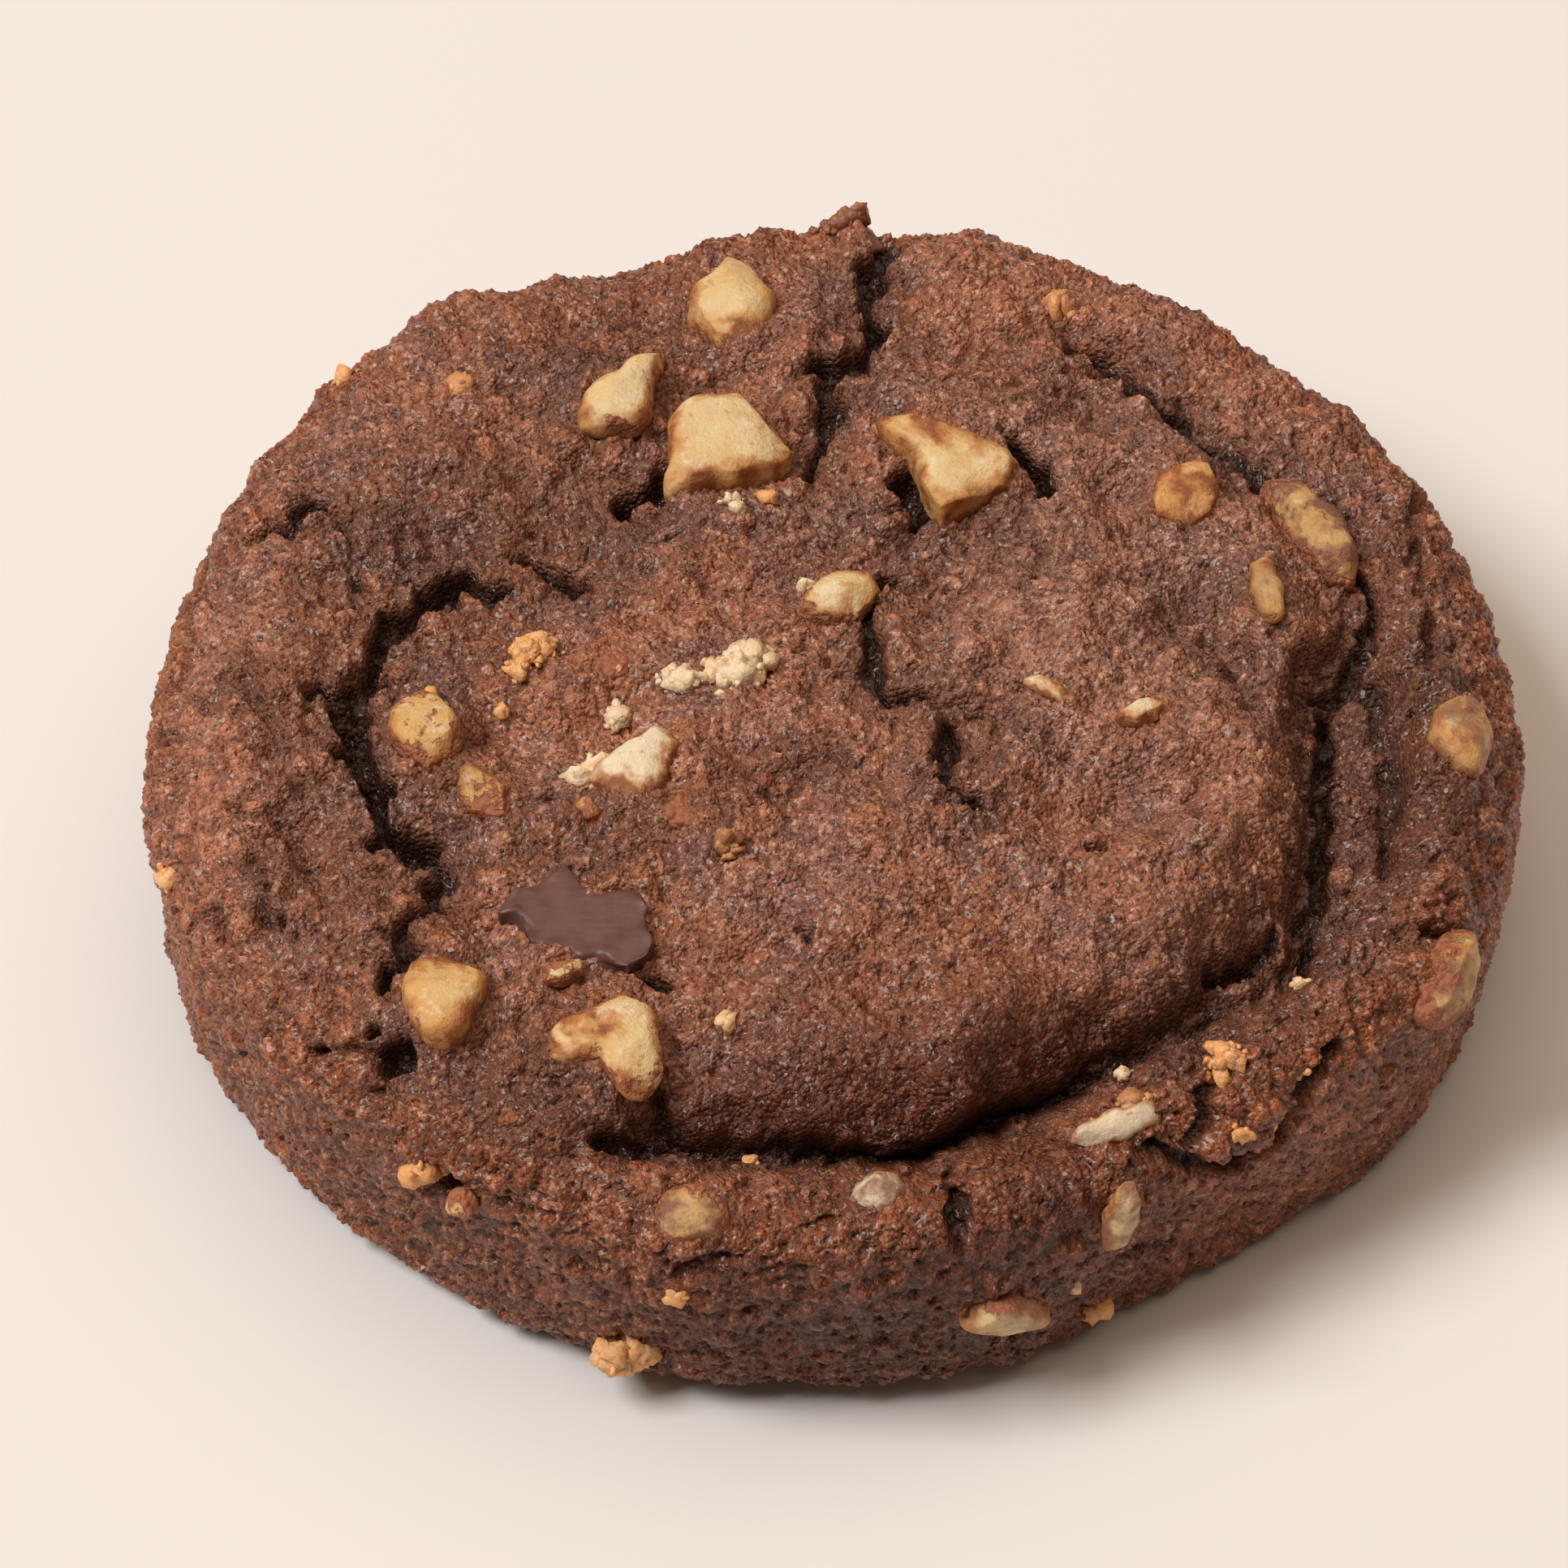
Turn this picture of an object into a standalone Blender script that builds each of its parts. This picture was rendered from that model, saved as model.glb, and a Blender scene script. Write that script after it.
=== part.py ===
"""Fudge nut brownie cookie: a thick round of baked dough, with walnut pieces and a chunk of chocolate.

Sizes here are millimetres and degrees. Places on the dough are given on a flat map of its skin. The
distance of a place from (0, 0) is the way along the skin from the middle of the top, and its
direction is its direction round the cookie. The top reaches to 32 on the map, the shoulder to 43,
the side to 57, and the base beyond. -Y is the front.
"""

import bmesh
import bpy
import numpy as np
from mathutils import Vector, noise

MM = 0.001

# The smooth round of dough
RADIUS = 40.3
HEIGHT = 18.5
CROWN = 0.8
SHOULDER_WIDTH = 8.0
SHOULDER_DROP = 5.5
TAPER = 0.9
FOOT = 1.8

# Bulges and flats of the outline: direction, half width in degrees, outward
LOBES = [
    (200, 25, 0.8),
    (345, 20, 0.3),
    (135, 18, 0.6),
    (105, 20, -2.0),
    (72, 12, -0.7),
    (45, 15, -0.7),
    (262, 20, 0.8),
    (303, 16, -2.2),
]

# The base's edge curls up off the table at the front
CURL_DIRECTION = 268
CURL_WIDTH = 26
CURL_LIFT = 1.0
CURL_REACH = 9.0
CURL_HEIGHT = 6.0

# Mounds and hollows of the skin: place, half widths along and across, turn, height
MOUNDS = [
    ((14, -8), 16, 17, 0, 0.8),
    ((12, 20), 12, 10, 0, 0.6),
    ((-18, 24), 11, 7, 0, 0.9),
    ((-18, 11), 9, 4, 0, -1.2),
    ((-12, -4), 12, 9, 0, -0.3),
    ((-32, -3), 7, 20, 0, 0.3),
    ((-25, -30), 8, 6, -50, -0.4),
    ((3, -27), 14, 3.5, 8, 0.7),
    ((17, -21), 9, 3.5, 40, 0.5),
    ((24, -36), 10, 3.5, 40, 0.5),
    ((36, -4), 4, 22, 0, 0.4),
    ((-19, 33.5), 3.5, 2.6, 20, 0.2),
    ((-23.4, 31.8), 3.6, 2.6, 35, 1.4),
    ((-12, 34.5), 4.0, 3, 0, 0.6),
    ((-8, 37.5), 2.6, 2.2, 0, 1.0),
    ((-4.2, 38.5), 1.8, 2.2, 0, 1.1),
    ((1.2, 38.8), 3.0, 1.5, 0, 1.2),
    ((7.5, 37.5), 3.6, 2.6, 0, 1.1),
    ((13.5, 35), 3.4, 2.6, -25, 0.5),
    ((20.5, 32), 4.5, 3, -35, 1.0),
    ((31, 22), 2.5, 3, -50, 0.9),
    ((-16.5, -50.5), 1.6, 1.8, 0, 0.9),
    ((26.5, 4.0), 1.9, 8.0, 12, 1.3),
    ((21.5, 4.2), 5.5, 2.3, -64, -1.9),
    ((13.0, 5.0), 4.5, 3.5, 0, 1.0),
    ((17.5, 13.6), 2.2, 2.3, 0, -1.6),
    ((22.5, 17.5), 3.5, 1.8, -45, 0.8),
    ((12.5, 24.0), 6.5, 2.3, -35, -1.5),
    ((17.2, 22.3), 7.0, 1.8, -42, 1.1),
    ((5.5, 21.5), 4.0, 3.0, 0, 0.8),
    ((16.3, -10.5), 4.5, 2.4, 15, -1.9),
    ((20.5, -14.3), 6.0, 1.9, 25, 1.2),
    ((23.3, -7.0), 2.6, 4.5, 0, 1.0),
    ((24.8, -19.0), 2.6, 2.0, -30, -0.8),
    ((31.6, -8.0), 1.8, 8.0, 5, -0.8),
    ((34.6, -3.0), 1.6, 8.0, 5, 0.8),
    ((34.0, -15.0), 2.6, 2.2, 0, 0.8),
    ((-6.0, -20.5), 4.5, 2.2, 10, -0.4),
    ((10.0, -17.0), 5.5, 2.5, -15, 0.5),
    ((-22.0, 15.5), 3.0, 2.4, 0, 0.6),
    ((-9.0, 9.0), 5.5, 3.5, 10, 0.9),
    ((-31.5, 6.0), 2.0, 6.0, -5, 0.7),
    ((-34.0, -9.0), 2.4, 5.0, 10, 0.6),
    ((-29.5, -14.0), 2.0, 3.0, 20, -1.0),
    ((-27.0, -20.0), 2.6, 2.6, 0, 0.7),
    ((38.5, -3.0), 3.5, 13.0, 0, -1.1),
    ((2.0, -12.0), 13.0, 9.0, 0, 0.9),
    ((-32.5, -4.5), 3.0, 2.6, 90, 0.9),
    ((-31.5, -7.3), 2.5, 1.1, 0, -0.6),
    ((-30.0, -9.7), 2.6, 2.2, 0, 0.7),
    ((-31.0, -12.3), 2.5, 1.2, 0, -0.7),
    ((-32.0, -15.2), 3.0, 2.4, 0, 0.7),
    ((-23.4, -4.6), 3.0, 3.4, 0, 0.9),
    ((-25.0, 17.0), 4.0, 3.0, 20, 0.8),
    ((-20.0, 24.0), 4.5, 3.0, 10, 0.6),
    ((-15.5, 27.5), 3.0, 2.5, 0, -0.6),
    ((-6.0, 12.8), 4.0, 2.0, 0, 1.0),
    ((8.0, 22.5), 5.5, 4.0, -20, 0.8),
    ((-2.5, 27.5), 2.6, 4.0, 0, 0.7),
]

# The fold along the front and right, where the plateau of the top drops behind the rim. Its places
# carry its strength, and its section runs from the plateau (below 0) over the rim.
FOLD_DEPTH = 6.4
FOLD_LEAN = 0.3
FOLD_BEND = 1.6
FOLD_PATH = [
    (-17.0, -32.6, 0.0),
    (-13.0, -33.2, 0.3),
    (-10.0, -33.0, 0.65),
    (-7.2, -33.8, 0.85),
    (-2.2, -34.8, 1.0),
    (6.2, -35.0, 1.08),
    (11.8, -33.2, 1.08),
    (17.2, -29.5, 0.85),
    (21.8, -25.8, 0.66),
    (25.2, -22.2, 0.55),
    (28.0, -19.0, 0.6),
    (28.4, -13.0, 0.62),
    (28.8, -5.8, 0.6),
    (29.2, 0.5, 0.58),
    (31.5, 5.8, 0.42),
    (30.4, 11.8, 0.38),
    (27.5, 16.0, 0.35),
    (22.5, 20.5, 0.36),
    (17.5, 27.0, 0.32),
    (12.2, 30.2, 0.0),
]
FOLD_SECTION = [
    (-16.0, 0.0),
    (-12.0, -0.02),
    (-9.0, -0.06),
    (-7.0, -0.11),
    (-5.6, -0.18),
    (-4.4, -0.28),
    (-3.2, -0.42),
    (-2.2, -0.58),
    (-1.5, -0.8),
    (-1.0, -1.0),
    (0.7, -1.02),
    (1.4, -0.8),
    (3.2, -0.5),
    (6.0, -0.23),
    (10.0, 0.0),
]

# Cracks: half width, depth, places along the line
CRACKS = [
    (0.75, 1.8, [(-18.0, 9.2), (-16.0, 8.2), (-15.2, 6.5)]),
    (0.65, 2.2, [(-19.5, 6.2), (-21.0, 6.5), (-23.0, 7.2), (-24.2, 5.2), (-25.5, 4.0), (-26.5, 2.8)]),
    (0.55, 1.6, [(-26.5, 2.8), (-26.8, -0.5), (-28.2, -2.2), (-30.0, -1.5)]),
    (0.75, 3.0, [(-28.0, -3.2), (-27.0, -6.2), (-26.5, -7.8), (-25.5, -10.5), (-25.0, -11.8),
                 (-23.5, -12.8)]),
    (0.5, 1.4, [(-23.5, -12.8), (-22.0, -14.2), (-23.0, -16.2), (-22.5, -17.8), (-24.5, -19.0),
                (-24.5, -22.2)]),
    (0.6, 1.9, [(2.8, 36.0), (1.8, 32.8), (2.0, 30.2), (2.8, 28.2), (2.0, 26.2), (0.2, 24.2)]),
    (0.5, 1.5, [(0.2, 24.2), (-1.0, 23.0), (0.0, 21.2), (-1.0, 18.5), (-1.5, 16.0)]),
    (0.5, 1.5, [(2.8, 6.5), (2.0, 4.8), (2.0, 2.5), (1.8, -0.8), (1.8, -2.2), (2.8, -3.0), (4.5, -3.0)]),
    (0.5, 1.5, [(4.5, -3.0), (5.8, -4.2), (6.5, -5.2), (6.2, -7.5), (6.8, -9.5), (6.2, -10.8),
                (8.0, -12.8)]),
    (0.5, 0.9, [(32.0, 2.0), (32.0, -2.2), (32.5, -3.8), (32.2, -8.2), (32.2, -13.0)]),
    (0.45, 1.3, [(29.4, 0.0), (29.0, -3.8), (28.8, -9.8), (28.3, -15.8), (27.5, -19.8)]),
    (0.35, 1.0, [(30.0, 14.5), (31.0, 11.0), (31.8, 6.5), (31.0, 2.8), (29.2, 1.0)]),
    (0.5, 1.3, [(26.0, 16.4), (24.8, 19.0), (22.2, 20.8), (19.8, 23.8), (18.0, 26.0), (14.5, 28.5)]),
    (0.5, 1.4, [(22.5, -22.2), (24.5, -20.5), (25.5, -17.5)]),
    (0.5, 1.2, [(28.0, -21.0), (28.3, -18.5)]),
    (0.5, 0.7, [(35.8, 16.8), (35.2, 11.8), (35.2, 3.2), (34.5, -1.8)]),
    (0.6, 1.4, [(30.5, -27.0), (29.2, -31.0), (29.5, -33.8), (25.8, -36.8), (20.5, -36.8)]),
    (0.5, 1.2, [(23.8, -31.0), (23.0, -32.8), (22.8, -34.2), (22.0, -35.5)]),
    (0.5, 1.2, [(35.0, -17.8), (37.5, -18.8)]),
]

# Steep holes: place, half length, half width, turn, depth
PITS = [
    ((-22.5, 7.0), 1.4, 1.0, 0, 2.6),
    ((-28.2, -2.4), 1.2, 0.8, 0, 2.2),
    ((-25.2, -27.8), 1.5, 1.1, 30, 2.6),
    ((-33.2, 11.5), 1.2, 0.8, 0, 2.0),
    ((-31.3, 13.0), 1.1, 0.8, 20, 2.0),
    ((2.8, 28.2), 1.2, 0.9, 60, 2.4),
    ((0.4, 24.4), 1.1, 0.8, 0, 2.4),
    ((-11.3, 14.8), 2.0, 1.1, 20, 2.6),
    ((4.2, 14.0), 1.7, 1.3, -50, 2.8),
    ((11.9, 15.8), 1.7, 0.8, -45, 2.6),
    ((-9.9, -31.2), 0.7, 0.5, -60, 0.9),
    ((-24.9, -22.0), 1.2, 0.7, 20, 2.2),
    ((-12.0, -33.4), 1.2, 0.6, 0, 1.8),
    ((-1.8, -19.5), 0.9, 0.7, 0, 1.2),
    ((-10.2, -22.6), 0.9, 0.7, 0, 1.6),
    ((15.5, -14.8), 0.9, 0.6, 0, 1.2),
    ((7.3, -40.0), 0.7, 1.6, 0, 1.6),
    ((-23.6, -35.9), 1.0, 0.8, 0, 1.8),
    ((3.4, 36.8), 1.1, 2.0, 0, 2.2),
]
PIT_WALL = 0.3

# Unevenness of the baked skin: size of the lumps, height
LUMPS = [(7.5, 1.1), (3.6, 0.9), (2.2, 0.5)]
SIDE_LUMPS = 0.4
WARP_SIZE = 2.4
WARP = 0.7

# How the dough is divided: spacing of its points, and its triangles before the pockets are cut
SPACING = 1.1
BASE_SPACING = 4.0
DOUGH_TRIANGLES = 5850

# Pockets leave a gap round the pieces, and the dough stands in a collar round the nuts
GAP = 0.32
COLLAR = 0.45
COLLAR_REACH = 1.3

# Pieces are rounded lumps whose outline is a radius with arms reaching out of it
FINE = 3
COARSE = 2
FINE_LENGTH = 3.7
FINE_HALF = 1.35
PIECE_NOISE = 0.1
PIECE_NOISE_SIZE = 2.0


def nut(place, radius, half, lift, arms, square=0.7, cuts=2):
    """A walnut piece: place on the map, radius, half thickness, lift of its middle over the skin,
    arms (direction on the map, reach, half width in degrees), how rounded its section is and how
    many flat breaks it has."""
    return dict(place=place, radius=radius, half=half, lift=lift, arms=arms, square=square, cuts=cuts)


NUTS = [
    nut((-6.5, 30.4), 2.6, 2.0, -0.2, [(84, 4.3, 24), (-90, 3.4, 45)], 0.9, 0),
    nut((-13.0, 21.0), 1.8, 1.5, 0.0, [(60, 4.6, 20), (-130, 3.1, 42), (-70, 2.5, 38)], 0.9, 0),
    nut((-7.0, 18.0), 3.2, 1.6, -0.2, [(125, 3.7, 24), (55, 4.1, 24), (-14, 4.1, 22), (-128, 4.6, 18)],
        0.45, 1),
    nut((6.8, 15.8), 2.1, 1.5, -0.2, [(-23, 4.8, 34), (118, 4.2, 17), (147, 4.7, 17), (-93, 4.6, 30)],
        0.5, 1),
    nut((21.0, 14.2), 1.9, 1.1, 0.0, [(75, 2.6, 30), (225, 2.9, 25), (-85, 2.7, 30)], 0.6),
    nut((28.2, 12.2), 2.0, 1.5, 0.1, [(-60, 4.5, 30), (120, 4.5, 28)], 0.75, 1),
    nut((25.0, 5.5), 1.0, 0.9, 0.1, [(98, 2.6, 30), (-82, 2.5, 30)], 1.0, 0),
    nut((35.8, -4.5), 1.9, 1.5, 0.2, [(80, 2.9, 35), (-80, 2.8, 35)], 0.9, 1),
    nut((-23.2, -5.5), 2.0, 1.5, -0.2, [(110, 2.8, 35), (-80, 3.0, 40)], 0.8),
    nut((-19.8, -10.0), 1.5, 1.3, 0.4, [(115, 2.3, 25), (-50, 2.4, 30)], 0.6, 3),
    nut((-11.2, -8.5), 1.8, 1.3, 0.3, [(50, 3.8, 24), (195, 2.7, 28), (-105, 3.2, 26)], 0.7, 1),
    nut((-22.0, -24.2), 2.3, 1.8, 0.0, [(90, 3.4, 40), (-90, 3.3, 35)], 0.6),
    nut((-12.2, -26.7), 2.1, 1.4, 0.1, [(196, 4.5, 32), (-71, 4.7, 32)], 0.7, 1),
    nut((0.2, 4.2), 1.6, 1.1, 0.5, [(30, 2.4, 30), (200, 2.4, 30)], 0.6),
    nut((-13.5, -0.5), 1.0, 0.7, 0.2, [(5, 2.1, 40), (190, 1.9, 30)], 0.6, 1),
    nut((11.8, -2.8), 0.5, 0.5, 0.1, [(-35, 1.8, 25), (145, 1.7, 25)], 0.7),
    nut((17.2, -4.5), 0.9, 0.6, 0.05, [(20, 1.5, 32), (200, 1.4, 32)], 0.6),
    nut((-8.8, -12.0), 1.3, 0.9, 0.3, [(-40, 2.0, 30), (140, 1.6, 30)]),
    nut((-14.2, -11.5), 0.8, 0.7, 0.3, [(-70, 1.1, 35)]),
    nut((-15.6, -23.0), 0.85, 0.7, 0.2, [(20, 1.4, 30), (190, 1.3, 30)]),
    nut((-8.5, -38.5), 1.9, 1.2, 0.4, [(10, 2.1, 35), (200, 2.0, 35)]),
    nut((1.9, -36.7), 1.3, 1.0, 2.3, [(20, 1.7, 35)]),
    nut((17.0, -34.0), 1.0, 0.8, 0.6, [(25, 3.2, 26), (205, 2.9, 26)], 0.7),
    nut((17.4, -39.6), 1.0, 0.8, 0.3, [(-80, 2.7, 28), (100, 2.5, 28)]),
    nut((11.2, -46.6), 1.4, 0.9, 0.2, [(0, 2.8, 32), (180, 2.7, 32)], 0.6),
    nut((35.8, -20.8), 1.7, 1.3, 0.3, [(-103, 3.3, 32), (77, 3.3, 32)]),
    nut((-22.5, -37.0), 0.9, 0.8, 0.3, []),
]
CUT_SHARES = (0.62, 0.82)
CUT_TILTS = (15, 70)

# The chunk of chocolate: its outline round its place, and how it sits in the dough
CHUNK_PLACE = (-14.8, -18.8)
CHUNK_OUTLINE = [
    (-0.5, 3.9),
    (-2.2, 2.4),
    (-3.5, 2.2),
    (-4.4, 0.3),
    (-3.4, -0.4),
    (-2.4, -2.4),
    (0.1, -2.9),
    (1.6, -3.4),
    (3.0, -4.0),
    (4.1, -3.2),
    (4.1, -1.0),
    (3.8, 1.6),
    (2.5, 2.4),
    (0.7, 1.6),
    (0.1, 2.6),
]
CHUNK_THICKNESS = 2.6
CHUNK_RISE = 0.15
CHUNK_TILT = (0.03, -0.01)
CHUNK_BEVEL = 0.3

# Colour, roughness
DOUGH_LOOK = ((0.215, 0.088, 0.056), 0.62)
WALNUT_LOOK = ((0.72, 0.46, 0.2), 0.48)
CHOCOLATE_LOOK = ((0.085, 0.036, 0.026), 0.38)


def smooth(value, low, high):
    """Ease from 0 at low to 1 at high."""
    t = np.clip((value - low) / (high - low), 0.0, 1.0)
    return t * t * (3.0 - 2.0 * t)


def profile():
    """Way along the skin, radius and height, from the middle of the top to the middle of the base."""
    flat = RADIUS - SHOULDER_WIDTH
    quarter = np.linspace(0.0, np.pi / 2, 40)[1:]
    run = np.linspace(0.0, 1.0, 40)
    foot_radius = RADIUS - TAPER - FOOT
    top_z = HEIGHT + CROWN * (1.0 - run**2)
    side = run[1:]
    side_z = (HEIGHT - SHOULDER_DROP) * (1.0 - side) + FOOT * side
    r = np.concatenate([
        flat * run,
        flat + SHOULDER_WIDTH * np.sin(quarter),
        RADIUS - TAPER * side**2,
        foot_radius + FOOT * np.cos(quarter),
        foot_radius * (1.0 - side),
    ])
    z = np.concatenate([
        top_z,
        HEIGHT - SHOULDER_DROP + SHOULDER_DROP * np.cos(quarter),
        side_z,
        FOOT - FOOT * np.sin(quarter),
        np.zeros(len(side)),
    ])
    way = np.concatenate([[0.0], np.cumsum(np.hypot(np.diff(r), np.diff(z)))])
    return way, r, z


WAY, PROFILE_R, PROFILE_Z = profile()
BASE_WAY = WAY[-1] - (RADIUS - TAPER - FOOT)
SHOULDER_WAY = RADIUS - SHOULDER_WIDTH


def turned_from(angles, direction):
    """Degrees between angles (radians) and a direction (degrees)."""
    return (np.degrees(angles) - direction + 180.0) % 360.0 - 180.0


def skin(places):
    """Points of the smooth dough at map places, with their outward, radial and sideways directions."""
    way = np.hypot(places[:, 0], places[:, 1])
    angle = np.arctan2(places[:, 1], places[:, 0])
    stretch = np.ones(len(places))
    for direction, width, outward in LOBES:
        stretch += outward / RADIUS * np.exp(-(turned_from(angle, direction) / width) ** 2)
    r = np.interp(way, WAY, PROFILE_R)
    z = np.interp(way, WAY, PROFILE_Z)
    slope_r = np.interp(way, WAY, np.gradient(PROFILE_R, WAY))
    slope_z = np.interp(way, WAY, np.gradient(PROFILE_Z, WAY))
    length = np.hypot(slope_r, slope_z)
    slope_r, slope_z = slope_r / length, slope_z / length
    cos, sin = np.cos(angle), np.sin(angle)
    points = np.stack([r * stretch * cos, r * stretch * sin, z], axis=1)
    outward = np.stack([-slope_z * cos, -slope_z * sin, slope_r], axis=1)
    radial = np.stack([slope_r * cos, slope_r * sin, slope_z], axis=1)
    sideways = np.stack([-sin, cos, np.zeros(len(places))], axis=1)
    return points, outward, radial, sideways


def wave(points, size, shift=0.0):
    """Smooth random heights between about -1 and 1, of lumps of the given size."""
    moved = points / size + shift
    return np.array([noise.noise(Vector(p)) for p in moved])


def to_local(places, place, turn):
    """Places seen from a place, along and across a direction."""
    angle = np.radians(turn)
    dx = places[:, 0] - place[0]
    dy = places[:, 1] - place[1]
    along = dx * np.cos(angle) + dy * np.sin(angle)
    across = dy * np.cos(angle) - dx * np.sin(angle)
    return along, across


def from_line(places, line):
    """Distance from a line of places, the side (1 on its right), and how far along the line."""
    nearest = np.full(len(places), np.inf)
    side = np.ones(len(places))
    along = np.zeros(len(places))
    line = np.array(line)[:, :2]
    for i, (start, end) in enumerate(zip(line[:-1], line[1:])):
        run = end - start
        offset = places - start
        t = np.clip(offset @ run / (run @ run), 0.0, 1.0)
        gap = offset - t[:, None] * run
        distance = np.hypot(gap[:, 0], gap[:, 1])
        closer = distance < nearest
        nearest = np.where(closer, distance, nearest)
        side = np.where(closer, np.sign(run[1] * offset[:, 0] - run[0] * offset[:, 1]), side)
        along = np.where(closer, i + t, along)
    return nearest, side, along


def mounds(places):
    """Height of the broad mounds and hollows."""
    height = np.zeros(len(places))
    for place, half_along, half_across, turn, rise in MOUNDS:
        along, across = to_local(places, place, turn)
        height += rise * np.exp(-(along / half_along) ** 2 - (across / half_across) ** 2)
    return height


def reach_of(piece, angle):
    """Radius of a walnut piece's outline in a direction."""
    reach = np.full(len(angle), piece["radius"])
    for direction, length, width in piece["arms"]:
        spread = np.exp(-(turned_from(angle, direction) / width) ** 2)
        reach += (length - piece["radius"]) * spread
    return reach


def collars(places):
    """Height of the dough's collars round the nuts."""
    height = np.zeros(len(places))
    for piece in NUTS:
        along, across = to_local(places, piece["place"], 0)
        gap = np.hypot(along, across) - reach_of(piece, np.arctan2(across, along))
        rise = COLLAR * min(1.0, piece["radius"] / 1.5)
        height = np.maximum(height, rise * np.exp(-np.maximum(gap, 0.0) ** 2 / COLLAR_REACH**2))
    return height


def fold(places):
    """Height of the fold and its strength, from 0 to 1."""
    waves = [wave(skin(places)[0], 6.0, shift) for shift in (5.0, 45.0)]
    bent = places + FOLD_BEND * np.stack(waves, axis=1)
    distance, side, along = from_line(bent, FOLD_PATH)
    strength = np.interp(along, np.arange(len(FOLD_PATH)), [p[2] for p in FOLD_PATH])
    steps, heights = zip(*FOLD_SECTION)
    return FOLD_DEPTH * strength * np.interp(distance * side, steps, heights), strength


def relief(places, points):
    """Height of the skin over the smooth dough, and how far it leans under the fold's lip."""
    warped = places + WARP * np.stack([wave(points, WARP_SIZE, 7.3), wave(points, WARP_SIZE, 31.7)], axis=1)
    height = mounds(places) + collars(places)
    folded, strength = fold(warped)
    height += folded
    sunk = np.zeros(len(places))
    for half_width, depth, line in CRACKS:
        distance = from_line(warped, line)[0]
        sunk = np.maximum(sunk, depth * (1.0 - smooth(distance, half_width * 0.5, half_width * 1.5)))
    for place, half_length, half_width, turn, depth in PITS:
        along, across = to_local(warped, place, turn)
        reach = np.hypot(along / half_length, across / half_width)
        sunk = np.maximum(sunk, depth * (1.0 - smooth(reach, 1.0 - PIT_WALL, 1.0 + PIT_WALL)))
    height -= sunk
    way = np.hypot(places[:, 0], places[:, 1])
    on_side = smooth(way, SHOULDER_WAY + 2.0, SHOULDER_WAY + 10.0)
    for i, (size, rise) in enumerate(LUMPS):
        height += rise * (1.0 - (1.0 - SIDE_LUMPS) * on_side) * wave(points, size, 11.1 * i)
    lean = FOLD_LEAN * strength * np.minimum(folded, 0.0)
    return height, lean


def curl_up(points):
    """Lift the base's edge at the front."""
    r = np.hypot(points[:, 0], points[:, 1])
    angle = np.arctan2(points[:, 1], points[:, 0])
    near_edge = smooth(r, RADIUS - TAPER - CURL_REACH, RADIUS - TAPER)
    near_base = 1.0 - smooth(points[:, 2], 0.0, CURL_HEIGHT)
    front = np.exp(-(turned_from(angle, CURL_DIRECTION) / CURL_WIDTH) ** 2)
    points[:, 2] += CURL_LIFT * near_edge * near_base * front


def rings():
    """Rings of map places over the whole skin, the last on the base, each as an array."""
    ways = list(np.arange(SPACING, BASE_WAY, SPACING)) + list(np.arange(BASE_WAY, WAY[-1] - 2, BASE_SPACING))
    result = []
    for i, way in enumerate(ways):
        spacing = SPACING if way < BASE_WAY else BASE_SPACING
        count = max(6, round(2 * np.pi * np.interp(way, WAY, PROFILE_R) / spacing))
        angles = (np.arange(count) + 0.5 * (i % 2)) * 2 * np.pi / count
        result.append(way * np.stack([np.cos(angles), np.sin(angles)], axis=1))
    return result


def stitch(first, count, next_first, next_count, shift, next_shift):
    """Triangles between two rings of points, the second outside the first."""
    faces = []
    i = j = 0
    while i < count or j < next_count:
        here = (i + 1 + shift) / count
        there = (j + 1 + next_shift) / next_count
        a, b = first + i % count, next_first + j % next_count
        if j == next_count or (i < count and here <= there):
            faces.append((a, b, first + (i + 1) % count))
            i += 1
        else:
            faces.append((a, b, next_first + (j + 1) % next_count))
            j += 1
    return faces


def dough_shape():
    """Points and triangles of the dough before its pockets are cut."""
    ring_places = rings()
    places = np.concatenate([np.zeros((1, 2)) + 1e-6] + ring_places + [np.array([[WAY[-1], 0.0]])])
    points, outward, radial, _ = skin(places)
    height, lean = relief(places, points)
    way = np.hypot(places[:, 0], places[:, 1])
    skinned = 1.0 - smooth(way, BASE_WAY, BASE_WAY + BASE_SPACING)
    points += (height * skinned)[:, None] * outward + (lean * skinned)[:, None] * radial
    points[:, 2] = np.maximum(points[:, 2], 0.0)
    curl_up(points)
    faces = [(0, 1 + i, 1 + (i + 1) % len(ring_places[0])) for i in range(len(ring_places[0]))]
    start = 1
    for k in range(len(ring_places) - 1):
        count, next_count = len(ring_places[k]), len(ring_places[k + 1])
        faces += stitch(start, count, start + count, next_count, 0.5 * (k % 2), 0.5 * ((k + 1) % 2))
        start += count
    last = len(places) - 1
    faces += [(last, start + (i + 1) % next_count, start + i) for i in range(next_count)]
    return points, faces


def seat(place, lift):
    """Middle and directions (map x, map y, outward) of a piece that sits on the skin at a place."""
    here = np.array([place], dtype=float)
    points, outward, radial, sideways = skin(here)
    angle = np.arctan2(place[1], place[0])
    along_x = np.cos(angle) * radial[0] - np.sin(angle) * sideways[0]
    along_y = np.sin(angle) * radial[0] + np.cos(angle) * sideways[0]
    level = mounds(here)[0] + fold(here)[0][0]
    return points[0] + (level + lift) * outward[0], along_x, along_y, outward[0]


def place_on_dough(local, place, lift):
    """Points given over the skin at a place, as points of the cookie."""
    middle, along_x, along_y, outward = seat(place, lift)
    return middle + local[:, :1] * along_x + local[:, 1:2] * along_y + local[:, 2:] * outward


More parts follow.
